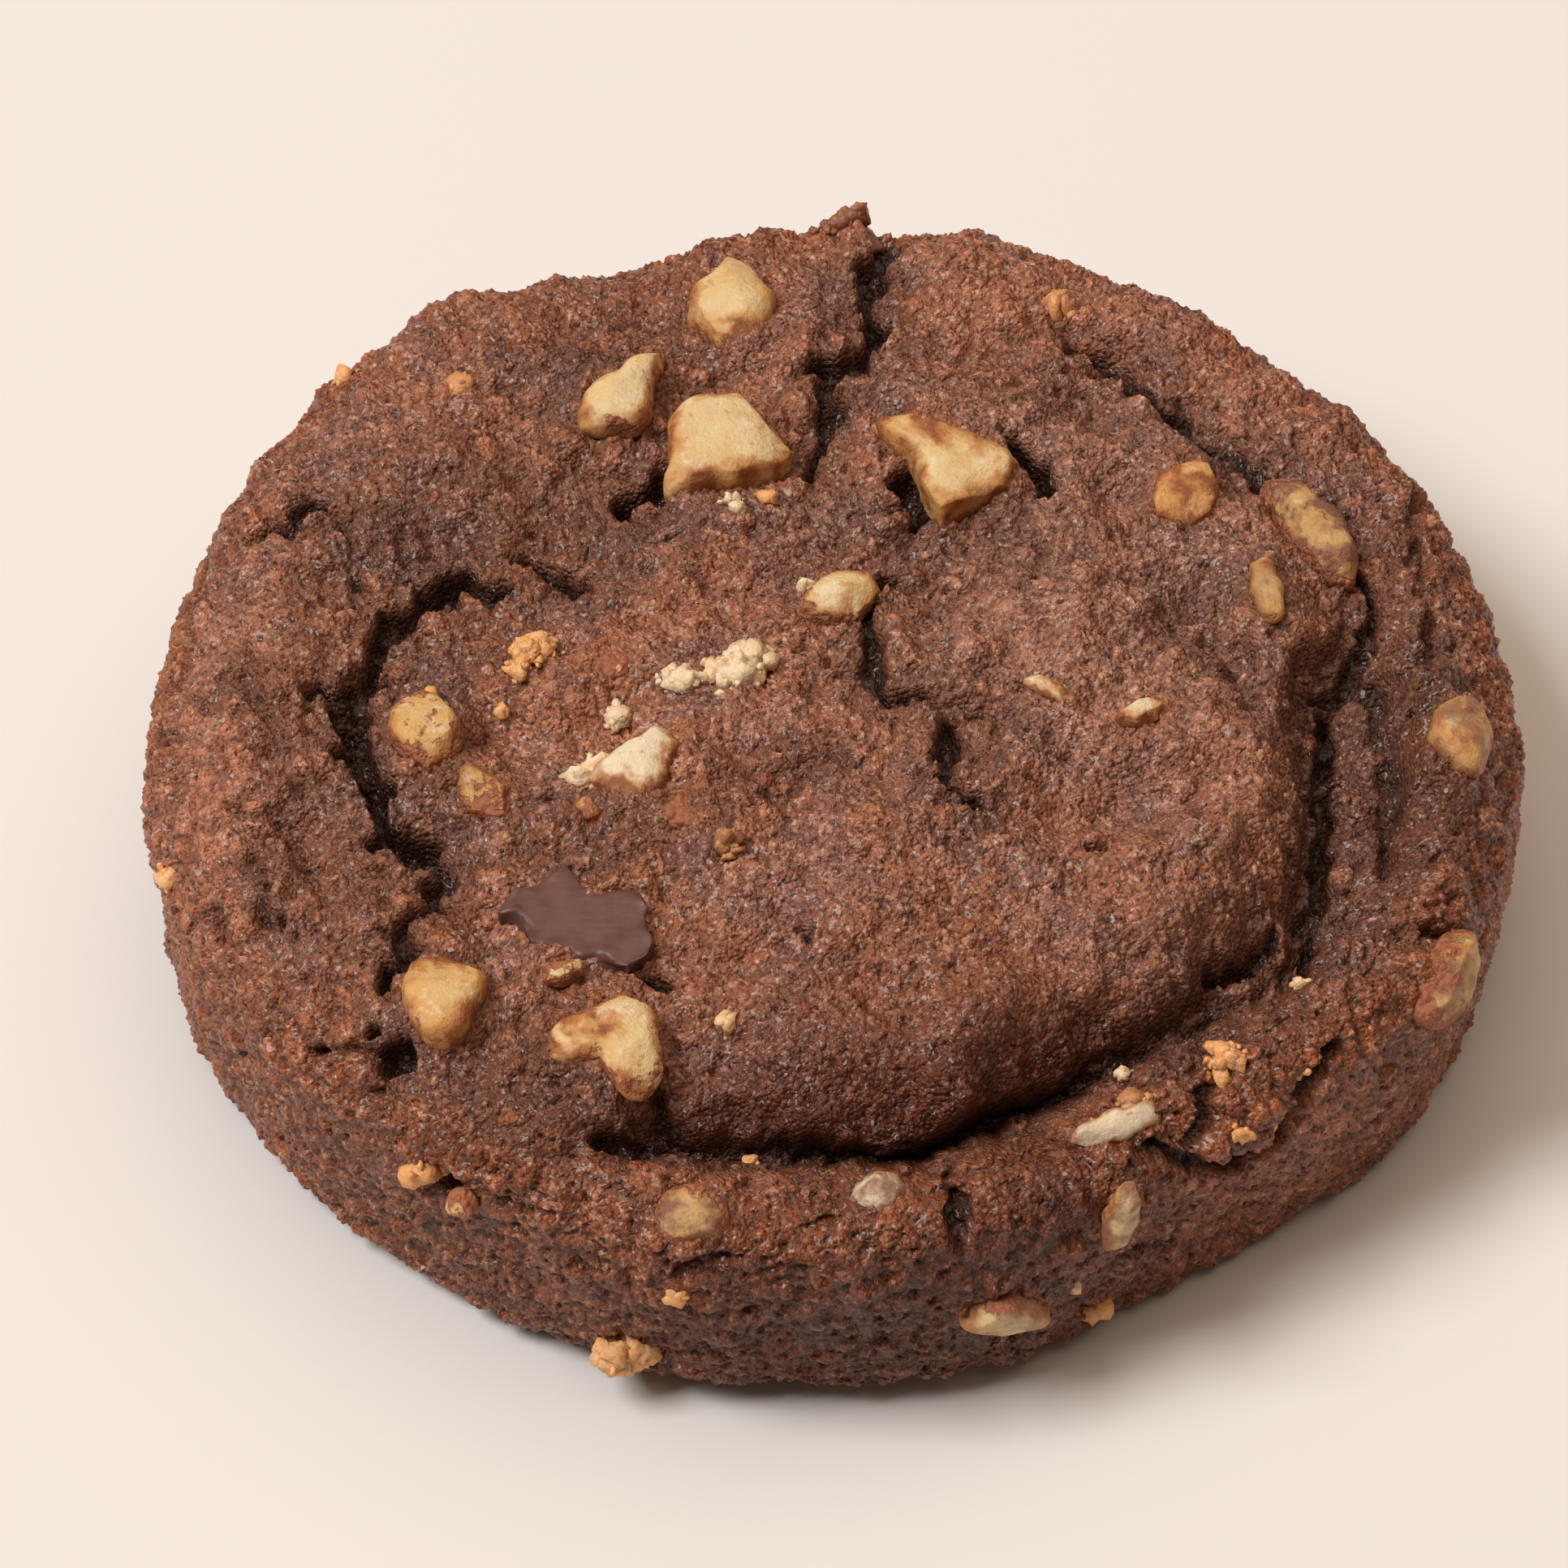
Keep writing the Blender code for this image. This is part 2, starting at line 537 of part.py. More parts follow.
def broken(local, cuts, number):
    """Flatten a piece along a few planes, as breaks leave it."""
    draw = np.random.default_rng(number)
    for _ in range(cuts):
        turn = np.radians(draw.uniform(0, 360))
        tilt = np.radians(draw.uniform(*CUT_TILTS))
        normal = np.array([np.cos(turn) * np.cos(tilt), np.sin(turn) * np.cos(tilt), np.sin(tilt)])
        reach = local @ normal
        over = np.maximum(reach - draw.uniform(*CUT_SHARES) * reach.max(), 0.0)
        local = local - over[:, None] * normal
    return local


def nut_shape(piece, number, detail):
    """Points and triangles of a walnut piece."""
    ball = bmesh.new()
    bmesh.ops.create_icosphere(ball, subdivisions=detail, radius=1.0)
    unit = np.array([v.co for v in ball.verts])
    faces = [tuple(v.index for v in f.verts) for f in ball.faces]
    ball.free()
    angle = np.arctan2(unit[:, 1], unit[:, 0])
    reach = reach_of(piece, angle)
    level = np.hypot(unit[:, 0], unit[:, 1]) ** piece["square"]
    rise = np.sign(unit[:, 2]) * np.abs(unit[:, 2]) ** piece["square"]
    local = np.stack([
        reach * level * np.cos(angle),
        reach * level * np.sin(angle),
        piece["half"] * rise,
    ], axis=1)
    local *= 1.0 + PIECE_NOISE * wave(local, PIECE_NOISE_SIZE, 5.0 * number)[:, None]
    local = broken(local, piece["cuts"], number)
    return place_on_dough(local, piece["place"], piece["lift"]), faces


def make_object(name, points, faces, material):
    """An object with the given points, in millimetres."""
    mesh = bpy.data.meshes.new(name)
    mesh.from_pydata([tuple(p) for p in points * MM], [], faces)
    mesh.materials.append(material)
    mesh.shade_smooth()
    obj = bpy.data.objects.new(name, mesh)
    bpy.context.scene.collection.objects.link(obj)
    return obj


def grown(obj, gap, name, collection):
    """A copy of a piece that is larger by the gap all round, to cut its pocket."""
    cutter = obj.copy()
    cutter.data = obj.data.copy()
    cutter.name = name
    for vertex in cutter.data.vertices:
        vertex.co += vertex.normal * gap * MM
    cutter.hide_render = True
    cutter.display_type = "WIRE"
    collection.objects.link(cutter)
    return cutter


def make_material(name, look):
    """A Principled material of a colour and roughness."""
    material = bpy.data.materials.new(name)
    material.use_nodes = True
    shader = material.node_tree.nodes["Principled BSDF"]
    colour, roughness = look
    shader.inputs["Base Color"].default_value = (*colour, 1.0)
    shader.inputs["Roughness"].default_value = roughness
    shader.inputs["Metallic"].default_value = 0.0
    material.diffuse_color = (*colour, 1.0)
    return material


def make_nuts(material):
    """The walnut pieces, the larger ones with more faces."""
    result = []
    for number, piece in enumerate(NUTS, start=1):
        longest = max([piece["radius"]] + [length for _, length, _ in piece["arms"]])
        detail = FINE if longest > FINE_LENGTH and piece["half"] > FINE_HALF else COARSE
        points, faces = nut_shape(piece, number, detail)
        result.append(make_object(f"walnut_{number:02d}", points, faces, material))
    return result


def make_chunk(material):
    """The chocolate chunk: its outline drawn up into a slab, with bevelled edges."""
    slab = bmesh.new()
    low = CHUNK_RISE - CHUNK_THICKNESS
    outline = [slab.verts.new((x, y, low)) for x, y in CHUNK_OUTLINE]
    floor = slab.faces.new(outline)
    raised = bmesh.ops.extrude_face_region(slab, geom=[floor])
    top = [v for v in raised["geom"] if isinstance(v, bmesh.types.BMVert)]
    bmesh.ops.translate(slab, verts=top, vec=(0, 0, CHUNK_THICKNESS))
    bmesh.ops.recalc_face_normals(slab, faces=slab.faces)
    edges = [e for e in slab.edges if all(v in top for v in e.verts)]
    bmesh.ops.bevel(slab, geom=edges, offset=CHUNK_BEVEL, segments=1, affect="EDGES")
    bmesh.ops.triangulate(slab, faces=slab.faces)
    slab.verts.index_update()
    local = np.array([v.co for v in slab.verts])
    faces = [tuple(v.index for v in f.verts) for f in slab.faces]
    slab.free()
    local[:, 2] += local[:, :2] @ CHUNK_TILT
    obj = make_object("chocolate_chunk", place_on_dough(local, CHUNK_PLACE, 0.0), faces, material)
    obj.data.set_sharp_from_angle(angle=np.radians(30))
    return obj


def keep_largest(mesh):
    """Drop loose scraps, keeping the body with the most faces."""
    body = bmesh.new()
    body.from_mesh(mesh)
    left = set(body.faces)
    islands = []
    while left:
        island = {left.pop()}
        front = list(island)
        while front:
            face = front.pop()
            for edge in face.edges:
                for other in edge.link_faces:
                    if other in left:
                        left.remove(other)
                        island.add(other)
                        front.append(other)
        islands.append(island)
    islands.sort(key=len)
    loose = [face for island in islands[:-1] for face in island]
    bmesh.ops.delete(body, geom=loose, context="FACES")
    body.to_mesh(mesh)
    body.free()


def cut_pockets(dough, pieces):
    """Cut a pocket for each piece out of the dough, in one difference."""
    cutters = bpy.data.collections.new("pockets")
    bpy.context.scene.collection.children.link(cutters)
    for piece in pieces:
        grown(piece, GAP, piece.name + "_pocket", cutters)
    pockets = dough.modifiers.new("pockets", "BOOLEAN")
    pockets.operation = "DIFFERENCE"
    pockets.solver = "EXACT"
    pockets.operand_type = "COLLECTION"
    pockets.collection = cutters
    evaluated = dough.evaluated_get(bpy.context.evaluated_depsgraph_get())
    mesh = bpy.data.meshes.new_from_object(evaluated)
    dough.modifiers.clear()
    dough.data = mesh
    keep_largest(mesh)
    for cutter in list(cutters.objects):
        bpy.data.objects.remove(cutter)
    bpy.data.collections.remove(cutters)


def make_dough(material):
    """The dough, with fewer triangles where its skin is flat."""
    points, faces = dough_shape()
    dough = make_object("dough", points, faces, material)
    thin = dough.modifiers.new("fewer triangles", "DECIMATE")
    thin.ratio = DOUGH_TRIANGLES / len(faces)
    return dough


def main():
    for obj in list(bpy.data.objects):
        bpy.data.objects.remove(obj)
    dough = make_dough(make_material("dough", DOUGH_LOOK))
    pieces = make_nuts(make_material("walnut", WALNUT_LOOK))
    pieces.append(make_chunk(make_material("chocolate", CHOCOLATE_LOOK)))
    cut_pockets(dough, pieces)


main()
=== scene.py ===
"""The looks of the fudge nut brownie cookie: crumbly skin, walnut pieces, chocolate and crumbs.

Sizes are millimetres and degrees. Places on the dough are given on a flat map of its skin. The
distance of a place from (0, 0) is the way along the skin from the middle of the top, and its
direction is its direction round the cookie. The top reaches to 32 on the map, the shoulder to 43,
the side to 57, and the base beyond. -Y is the front.
"""

import bmesh
import bpy
import numpy as np
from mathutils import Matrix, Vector, noise


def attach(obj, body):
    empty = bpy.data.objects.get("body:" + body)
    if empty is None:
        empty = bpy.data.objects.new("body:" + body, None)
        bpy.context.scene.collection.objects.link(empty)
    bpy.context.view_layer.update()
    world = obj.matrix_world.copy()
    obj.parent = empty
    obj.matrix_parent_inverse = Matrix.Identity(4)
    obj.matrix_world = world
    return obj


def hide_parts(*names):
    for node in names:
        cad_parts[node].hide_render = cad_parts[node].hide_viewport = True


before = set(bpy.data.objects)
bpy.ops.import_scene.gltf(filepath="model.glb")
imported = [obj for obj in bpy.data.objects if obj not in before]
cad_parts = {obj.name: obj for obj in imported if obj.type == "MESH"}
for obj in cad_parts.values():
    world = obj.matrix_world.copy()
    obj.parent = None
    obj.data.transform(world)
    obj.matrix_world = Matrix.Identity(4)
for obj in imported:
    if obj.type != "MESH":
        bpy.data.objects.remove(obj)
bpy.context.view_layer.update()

MM = 0.001
BODY = "root"

# The smooth round of dough
RADIUS = 40.2
HEIGHT = 18.5
CROWN = 0.8
SHOULDER_WIDTH = 8
SHOULDER_DROP = 5.5
TAPER = 0.9
FOOT = 1.8
PROFILE_STEPS = 40

# Bulges and flats of the outline: direction, half width in degrees, outward
LOBES = [
    (200, 25, 0.8), (345, 20, 0.3), (135, 18, 0.6), (105, 20, -2), (72, 12, -0.7), (45, 15, -0.7),
    (262, 20, 0.8), (303, 16, -2.2),
]

# The base's edge curls up off the table at the front
CURL_DIRECTION = 268
CURL_WIDTH = 26
CURL_LIFT = 1
CURL_REACH = 9
CURL_HEIGHT = 6

# Mounds and hollows of the skin: place, half widths along and across, turn, height
MOUNDS = [
    ((14, -8), 16, 17, 0, 0.8), ((12, 20), 12, 10, 0, 0.6), ((-18, 24), 11, 7, 0, 0.9),
    ((-18, 11), 9, 4, 0, -1.2), ((-12, -4), 12, 9, 0, -0.3), ((-32, -3), 7, 20, 0, 0.3),
    ((-25, -30), 8, 6, -50, -0.4), ((3, -27), 14, 3.5, 8, 0.7), ((17, -21), 9, 3.5, 40, 0.5),
    ((24, -36), 10, 3.5, 40, 0.5), ((36, -4), 4, 22, 0, 0.4), ((-19, 33.5), 3.5, 2.6, 20, 0.2),
    ((-23.4, 31.8), 3.6, 2.6, 35, 1.4), ((-12, 34.5), 4, 3, 0, 0.6), ((-8, 37.5), 2.6, 2.2, 0, 1),
    ((-4.2, 38.5), 1.8, 2.2, 0, 1.1), ((1.2, 38.8), 3, 1.5, 0, 1.2),
    ((7.5, 37.5), 3.6, 2.6, 0, 1.1), ((13.5, 35), 3.4, 2.6, -25, 0.5), ((20.5, 32), 4.5, 3, -35, 1),
    ((31, 22), 2.5, 3, -50, 0.9), ((-16.5, -50.5), 1.6, 1.8, 0, 0.9), ((26.5, 4), 1.9, 8, 12, 1.3),
    ((21.5, 4.2), 5.5, 2.3, -64, -1.9), ((13, 5), 4.5, 3.5, 0, 1),
    ((17.5, 13.6), 2.2, 2.3, 0, -1.6), ((22.5, 17.5), 3.5, 1.8, -45, 0.8),
    ((12.5, 24), 6.5, 2.3, -35, -1.5), ((17.2, 22.3), 7, 1.8, -42, 1.1),
    ((5.5, 21.5), 4, 3, 0, 0.8), ((16.3, -10.5), 4.5, 2.4, 15, -1.9),
    ((20.5, -14.3), 6, 1.9, 25, 1.2), ((23.3, -7), 2.6, 4.5, 0, 1),
    ((24.8, -19), 2.6, 2, -30, -0.8), ((31.6, -8), 1.8, 8, 5, -0.8), ((34.6, -3), 1.6, 8, 5, 0.8),
    ((34, -15), 2.6, 2.2, 0, 0.8), ((-6, -20.5), 4.5, 2.2, 10, -0.4),
    ((10, -17), 5.5, 2.5, -15, 0.5), ((-22, 15.5), 3, 2.4, 0, 0.6), ((-9, 9), 5.5, 3.5, 10, 0.9),
    ((-31.5, 6), 2, 6, -5, 0.7), ((-34, -9), 2.4, 5, 10, 0.6), ((-29.5, -14), 2, 3, 20, -1),
    ((-27, -20), 2.6, 2.6, 0, 0.7), ((38.5, -3), 3.5, 13, 0, -1.1), ((2, -12), 13, 9, 0, 0.9),
    ((-32.5, -4.5), 3, 2.6, 90, 0.9), ((-31.5, -7.3), 2.5, 1.1, 0, -0.6),
    ((-30, -9.7), 2.6, 2.2, 0, 0.7), ((-31, -12.3), 2.5, 1.2, 0, -0.7),
    ((-32, -15.2), 3, 2.4, 0, 0.7), ((-23.4, -4.6), 3, 3.4, 0, 0.9), ((-25, 17), 4, 3, 20, 0.8),
    ((-20, 24), 4.5, 3, 10, 0.6), ((-15.5, 27.5), 3, 2.5, 0, -0.6), ((-6, 12.8), 4, 2, 0, 1),
    ((8, 22.5), 5.5, 4, -20, 0.8), ((-2.5, 27.5), 2.6, 4, 0, 0.7),
]

# The fold along the front and right, where the plateau of the top drops behind the rim. Its places
# carry its strength, and its section runs from the plateau (below 0) over the rim.
FOLD_DEPTH = 6.4
FOLD_LEAN = 0.4
FOLD_REACH = 3.2
# Strength of the painted shadow in the fold's trench
FOLD_SHADOW = 1.3
FOLD_BEND = 1.6
FOLD_BEND_SIZE = 6
FOLD_FADE = 0.3
# Depths of the fold over which its painted shadow comes in
FOLD_SHADOW_DEPTHS = (0.4, 2.5)
FOLD_PATH = [
    (-17, -32.6, 0), (-13, -33.2, 0.3), (-10, -33, 0.65), (-7.2, -33.8, 0.85), (-2.2, -34.8, 1),
    (6.2, -35, 1.08), (11.8, -33.2, 1.08), (17.2, -29.5, 0.85), (21.8, -25.8, 0.66),
    (25.2, -22.2, 0.55), (28, -19, 0.6), (28.4, -13, 0.62), (28.8, -5.8, 0.6), (29.2, 0.5, 0.58),
    (31.5, 5.8, 0.42), (30.4, 11.8, 0.38), (27.5, 16, 0.35), (22.5, 20.5, 0.36), (17.5, 27, 0.32),
    (12.2, 30.2, 0),
]
FOLD_SECTION = [
    (-16, 0), (-12, -0.02), (-9, -0.06), (-7, -0.11), (-5.6, -0.18), (-4.4, -0.28), (-3.2, -0.42),
    (-2.2, -0.58), (-1.5, -0.8), (-1, -1), (0.7, -1.02), (1.4, -0.8), (3.2, -0.5), (6, -0.23),
    (10, 0),
]

# Cracks: half width, depth, places along the line
CRACKS = [
    (0.75, 1.8, [(-18, 9.2), (-16, 8.2), (-15.2, 6.5)]),
    (0.65, 2.2, [(-19.5, 6.2), (-21, 6.5), (-23, 7.2), (-24.2, 5.2), (-25.5, 4), (-26.5, 2.8)]),
    (0.55, 1.6, [(-26.5, 2.8), (-26.8, -0.5), (-28.2, -2.2), (-30, -1.5)]),
    (0.75, 3, [(-28, -3.2), (-27, -6.2), (-26.5, -7.8), (-25.5, -10.5), (-25, -11.8), (-23.5, -12.8)]),
    (0.5, 1.4, [(-23.5, -12.8), (-22, -14.2), (-23, -16.2), (-22.5, -17.8), (-24.5, -19),
        (-24.5, -22.2)]),
    (0.6, 1.9, [(2.8, 36), (1.8, 32.8), (2, 30.2), (2.8, 28.2), (2, 26.2), (0.2, 24.2)]),
    (0.5, 1.5, [(0.2, 24.2), (-1, 23), (0, 21.2), (-1, 18.5), (-1.5, 16)]),
    (0.5, 1.5, [(2.8, 6.5), (2, 4.8), (2, 2.5), (1.8, -0.8), (1.8, -2.2), (2.8, -3), (4.5, -3)]),
    (0.5, 1.5, [(4.5, -3), (5.8, -4.2), (6.5, -5.2), (6.2, -7.5), (6.8, -9.5), (6.2, -10.8),
        (8, -12.8)]),
    (0.5, 0.9, [(32, 2), (32, -2.2), (32.5, -3.8), (32.2, -8.2), (32.2, -13)]),
    (0.45, 1.3, [(29.4, 0), (29, -3.8), (28.8, -9.8), (28.3, -15.8), (27.5, -19.8)]),
    (0.35, 1, [(30, 14.5), (31, 11), (31.8, 6.5), (31, 2.8), (29.2, 1)]),
    (0.5, 1.3, [(26, 16.4), (24.8, 19), (22.2, 20.8), (19.8, 23.8), (18, 26), (14.5, 28.5)]),
    (0.5, 1.4, [(22.5, -22.2), (24.5, -20.5), (25.5, -17.5)]),
    (0.5, 1.2, [(28, -21), (28.3, -18.5)]),
    (0.5, 0.7, [(35.8, 16.8), (35.2, 11.8), (35.2, 3.2), (34.5, -1.8)]),
    (0.6, 1.4, [(30.5, -27), (29.2, -31), (29.5, -33.8), (25.8, -36.8), (20.5, -36.8)]),
    (0.5, 1.2, [(23.8, -31), (23, -32.8), (22.8, -34.2), (22, -35.5)]),
    (0.5, 1.2, [(35, -17.8), (37.5, -18.8)]),
]

# Finer cracks and creases, of the same kind
FINE_CRACKS = [
    (0.25, 0.6, [(5.2, -3.5), (8.8, -3.8)]),
    (0.25, 0.6, [(21.5, 3.5), (22.8, 1.6), (23.4, -0.6)]),
    (0.25, 0.5, [(23.2, 4.2), (24.2, 2.4), (24.4, 0.8)]),
    (0.25, 0.5, [(9, 12), (11.5, 9), (12.5, 7.5)]),
    (0.28, 0.7, [(-4.2, -10.5), (-3.5, -9.2), (-2, -8.2), (-1.2, -8)]),
    (0.5, 0.65, [(-34, -1), (-32.6, -3.4), (-31.2, -6.5)]),
    (0.5, 0.55, [(-30.8, -8.5), (-30.6, -11.5), (-29.8, -14)]),
    (0.45, 0.8, [(-32.5, -14), (-31.5, -17.8)]),
    (0.45, 0.6, [(-35.2, -16.6), (-35, -18.6)]),
    (0.25, 0.6, [(-29.2, 12.2), (-28.5, 8), (-28, 4.2)]),
    (0.25, 0.6, [(-25.8, 13), (-25.5, 10), (-24.8, 8.5)]),
    (0.3, 0.7, [(-25.2, -27.8), (-27.5, -26.8), (-30.2, -26.5)]),
    (0.25, 0.7, [(25, -43.2), (20.2, -44.2), (18, -45)]),
    (0.25, 0.7, [(-10, -42.5), (-8, -42), (-5.8, -42)]),
    (0.25, 0.6, [(-20.8, -37.5), (-18.5, -38)]),
    (0.25, 0.6, [(-17, -42.2), (-14.8, -42.5)]),
]

# Steep holes: place, half length, half width, turn, depth
PITS = [
    ((-22.5, 7), 1.4, 1, 0, 2.6), ((-28.2, -2.4), 1.2, 0.8, 0, 2.2),
    ((-25.2, -27.8), 1.5, 1.1, 30, 2.6), ((-33.2, 11.5), 1.2, 0.8, 0, 2),
    ((-31.3, 13), 1.1, 0.8, 20, 2), ((2.8, 28.2), 1.2, 0.9, 60, 2.4),
    ((0.4, 24.4), 1.1, 0.8, 0, 2.4), ((-11.3, 14.8), 2, 1.1, 20, 2.6),
    ((4.2, 14), 1.7, 1.3, -50, 2.8), ((11.9, 15.8), 1.7, 0.8, -45, 2.6),
    ((-9.9, -31.2), 0.7, 0.5, -60, 0.9), ((-24.9, -22), 1.2, 0.7, 20, 2.2),
    ((-12, -33.4), 1.2, 0.6, 0, 1.8), ((-1.8, -19.5), 0.9, 0.7, 0, 1.2),
    ((-10.2, -22.6), 0.9, 0.7, 0, 1.6), ((15.5, -14.8), 0.9, 0.6, 0, 1.2),
    ((7.3, -40), 0.7, 1.6, 0, 1.6), ((-23.6, -35.9), 1, 0.8, 0, 1.8), ((3.4, 36.8), 1.1, 2, 0, 2.2),
]
PIT_WALL = 0.3
CRACK_WALL = 0.4

# Unevenness of the baked skin: size of the lumps, height
LUMPS = [(7.5, 1.1), (3.6, 0.9), (2.2, 0.5), (1.2, 0.22)]
WARPS = [(2.4, 0.7), (0.8, 0.28)]

# Crumb of the skin: clumps, rounded curds with creases between, grains on them, and small holes
CLUMP_SIZE = 2.7
CLUMP_RISE = 0.6
CURD_SIZE = 1.5
CURD_RISE = 0.42
SIDE_CRUMB = 0.62
SIDE_GRAIN = 0.75
SIDE_LUMPS = 0.4
SIDE_TORN = 0.8
SIDE_WAYS = (2, 10)
SIDE_TORN_WAYS = (3, 9)
GRAIN_SIZE = 0.65
GRAIN_RISE = 0.21
FINE_GRAIN_SIZE = 0.4
FINE_GRAIN_RISE = 0.22
SMOOTH_GRAIN = 0.8
HOLE_SIZE = 1.4
HOLE_DEPTH = 0.3
HOLE_SHARE = 0.45
HOLE_WALL = 0.25
# How strongly holes and pinholes are painted with shade
HOLE_SHADE = 0.6
PINHOLE_SIZE = 0.65
PINHOLE_DEPTH = 0.4
PINHOLE_SHARE = 0.32
PINHOLE_WALL = 0.2
SIDE_STRETCH = 1.4
CRUMB_WARP = 0.5
CRUMB_WARP_SIZE = 1.6
CRUMB_SINK = 0.25
CELL_CREASE = 0.55
CELL_LEVEL = 0.7
# How much painted shade lies in the creases between clumps and curds, and between grains
LARGE_CREASE_SHADE = 0.6
GRAIN_CREASE_SHADE = 0.35
FINE_GRAIN_CREASE_SHADE = 0.25

# Where the dough is greyer, a painted sheen on the plateau's right: place and half widths
SHEEN_PLACE = (16, 8)
SHEEN_REACH = (13, 20)

# Where the crumb is torn and coarse: place, half widths along and across, turn
TORN_PLACES = [
    ((-17, 13), 11, 5, 0), ((-28, 8), 4, 8, 0), ((-24, -5), 5, 14, 0), ((-20, -30), 10, 6, -40),
    ((2, 28), 3, 8, 0), ((4, 10), 6, 5, 0), ((-14, -13), 6, 4, 0), ((-12, 22), 7, 6, 0),
    ((-30, -12), 5, 10, 0), ((22, 4), 4, 5, -60), ((14, 24), 5, 4, -35), ((25, -19), 5, 4, -40),
    ((33, 0), 4, 22, 0), ((24, -30), 10, 5, 40), ((3, -35), 16, 2.5, 0),
]
SMOOTH_CRUMB = 0.28

# Darker places, partly moist crumb and mostly painted shade on faces turned from the light, such as
# the fold's lip, the front wall and the right rim; a share below 0 is painted light on faces turned
# toward it: place, half widths along and across, turn, share
SHADE_AND_MOIST_PLACES = [
    ((4, -30.5), 18, 5, 4, 0.75), ((34, -8), 4.5, 14, 0, 0.55), ((25, -25), 9, 3.5, 42, 0.45),
    ((3, -49), 26, 9, 0, 0.9), ((-31, -36), 14, 7, -50, 0.35), ((10.5, -31.5), 8, 2.6, 28, 0.95),
    ((15, -39), 8, 3.5, 20, 0.65), ((-1, -32), 9, 2, 0, 0.5), ((-34, -9), 6, 14, 0, -0.8),
    ((13, 27), 11, 7, -30, -0.65), ((32, -34), 6, 6, 0, -0.6), ((-20, 9), 8, 4, 0, 0.3),
    ((-14, 31), 12, 6, 15, 0.35), ((2, -23.5), 16, 4.5, 5, 0.3), ((17, 14), 5, 5, 0, 0.35),
    ((12.5, 24), 8, 4, -35, 0.1), ((17, -10), 6, 4, 20, 0.3),
]
TORN_CRACK_REACH = 2.2
CRACK_UNEVEN = 1.3
CRACK_UNEVEN_SIZE = 1.9
CRACK_LEAST = 0.6

# Fineness of the skin's mesh, and its parts with the ways between which they reach
SPACING = 0.185
BASE_SPACING = 2.5
SKIN_PARTS = [
    ("dough_top", 0, 28),
    ("dough_shoulder", 28, 40),
    ("dough_side", 40, 50),
    ("dough_foot", 50, 200),
]

# The dough's collar round each nut
COLLAR = 0.45
COLLAR_COAT = 0.5
COLLAR_REACH = 1.3
COLLAR_FULL = 1.5
WARM_REACH = 0.8
NUT_NEAR = 10

# The walnut pieces: fineness, stains, unevenness, ridges and grain
NUT_DETAIL = 5
STAIN_HEIGHT = 1.9
STAIN_RIM = 0.7
STAIN_RIM_START = 0.55
STAIN_DEPTH = -0.2
PIECE_NOISE = 0.1
PIECE_NOISE_SIZE = 2
RIDGE = 0.05
RIDGE_SIZE = 1.1
PIECE_GRAIN = 0.006
PIECE_GRAIN_SIZE = 0.4


def nut(place, radius, half, lift, arms, square=0.7, cuts=2, gold=0.4, coat=0, shade=0):
    """A walnut piece: place on the map, radius, half thickness, lift of its middle over the skin,
    arms (direction on the map, reach, half width in degrees), how rounded its section is, how many
    flat breaks it has, how golden it is toasted, how much of it the dough coats and how brown a
    film of it darkens the rest."""
    return dict(place=place, radius=radius, half=half, lift=lift, arms=arms, square=square,
                cuts=cuts, gold=gold, coat=coat, shade=shade)


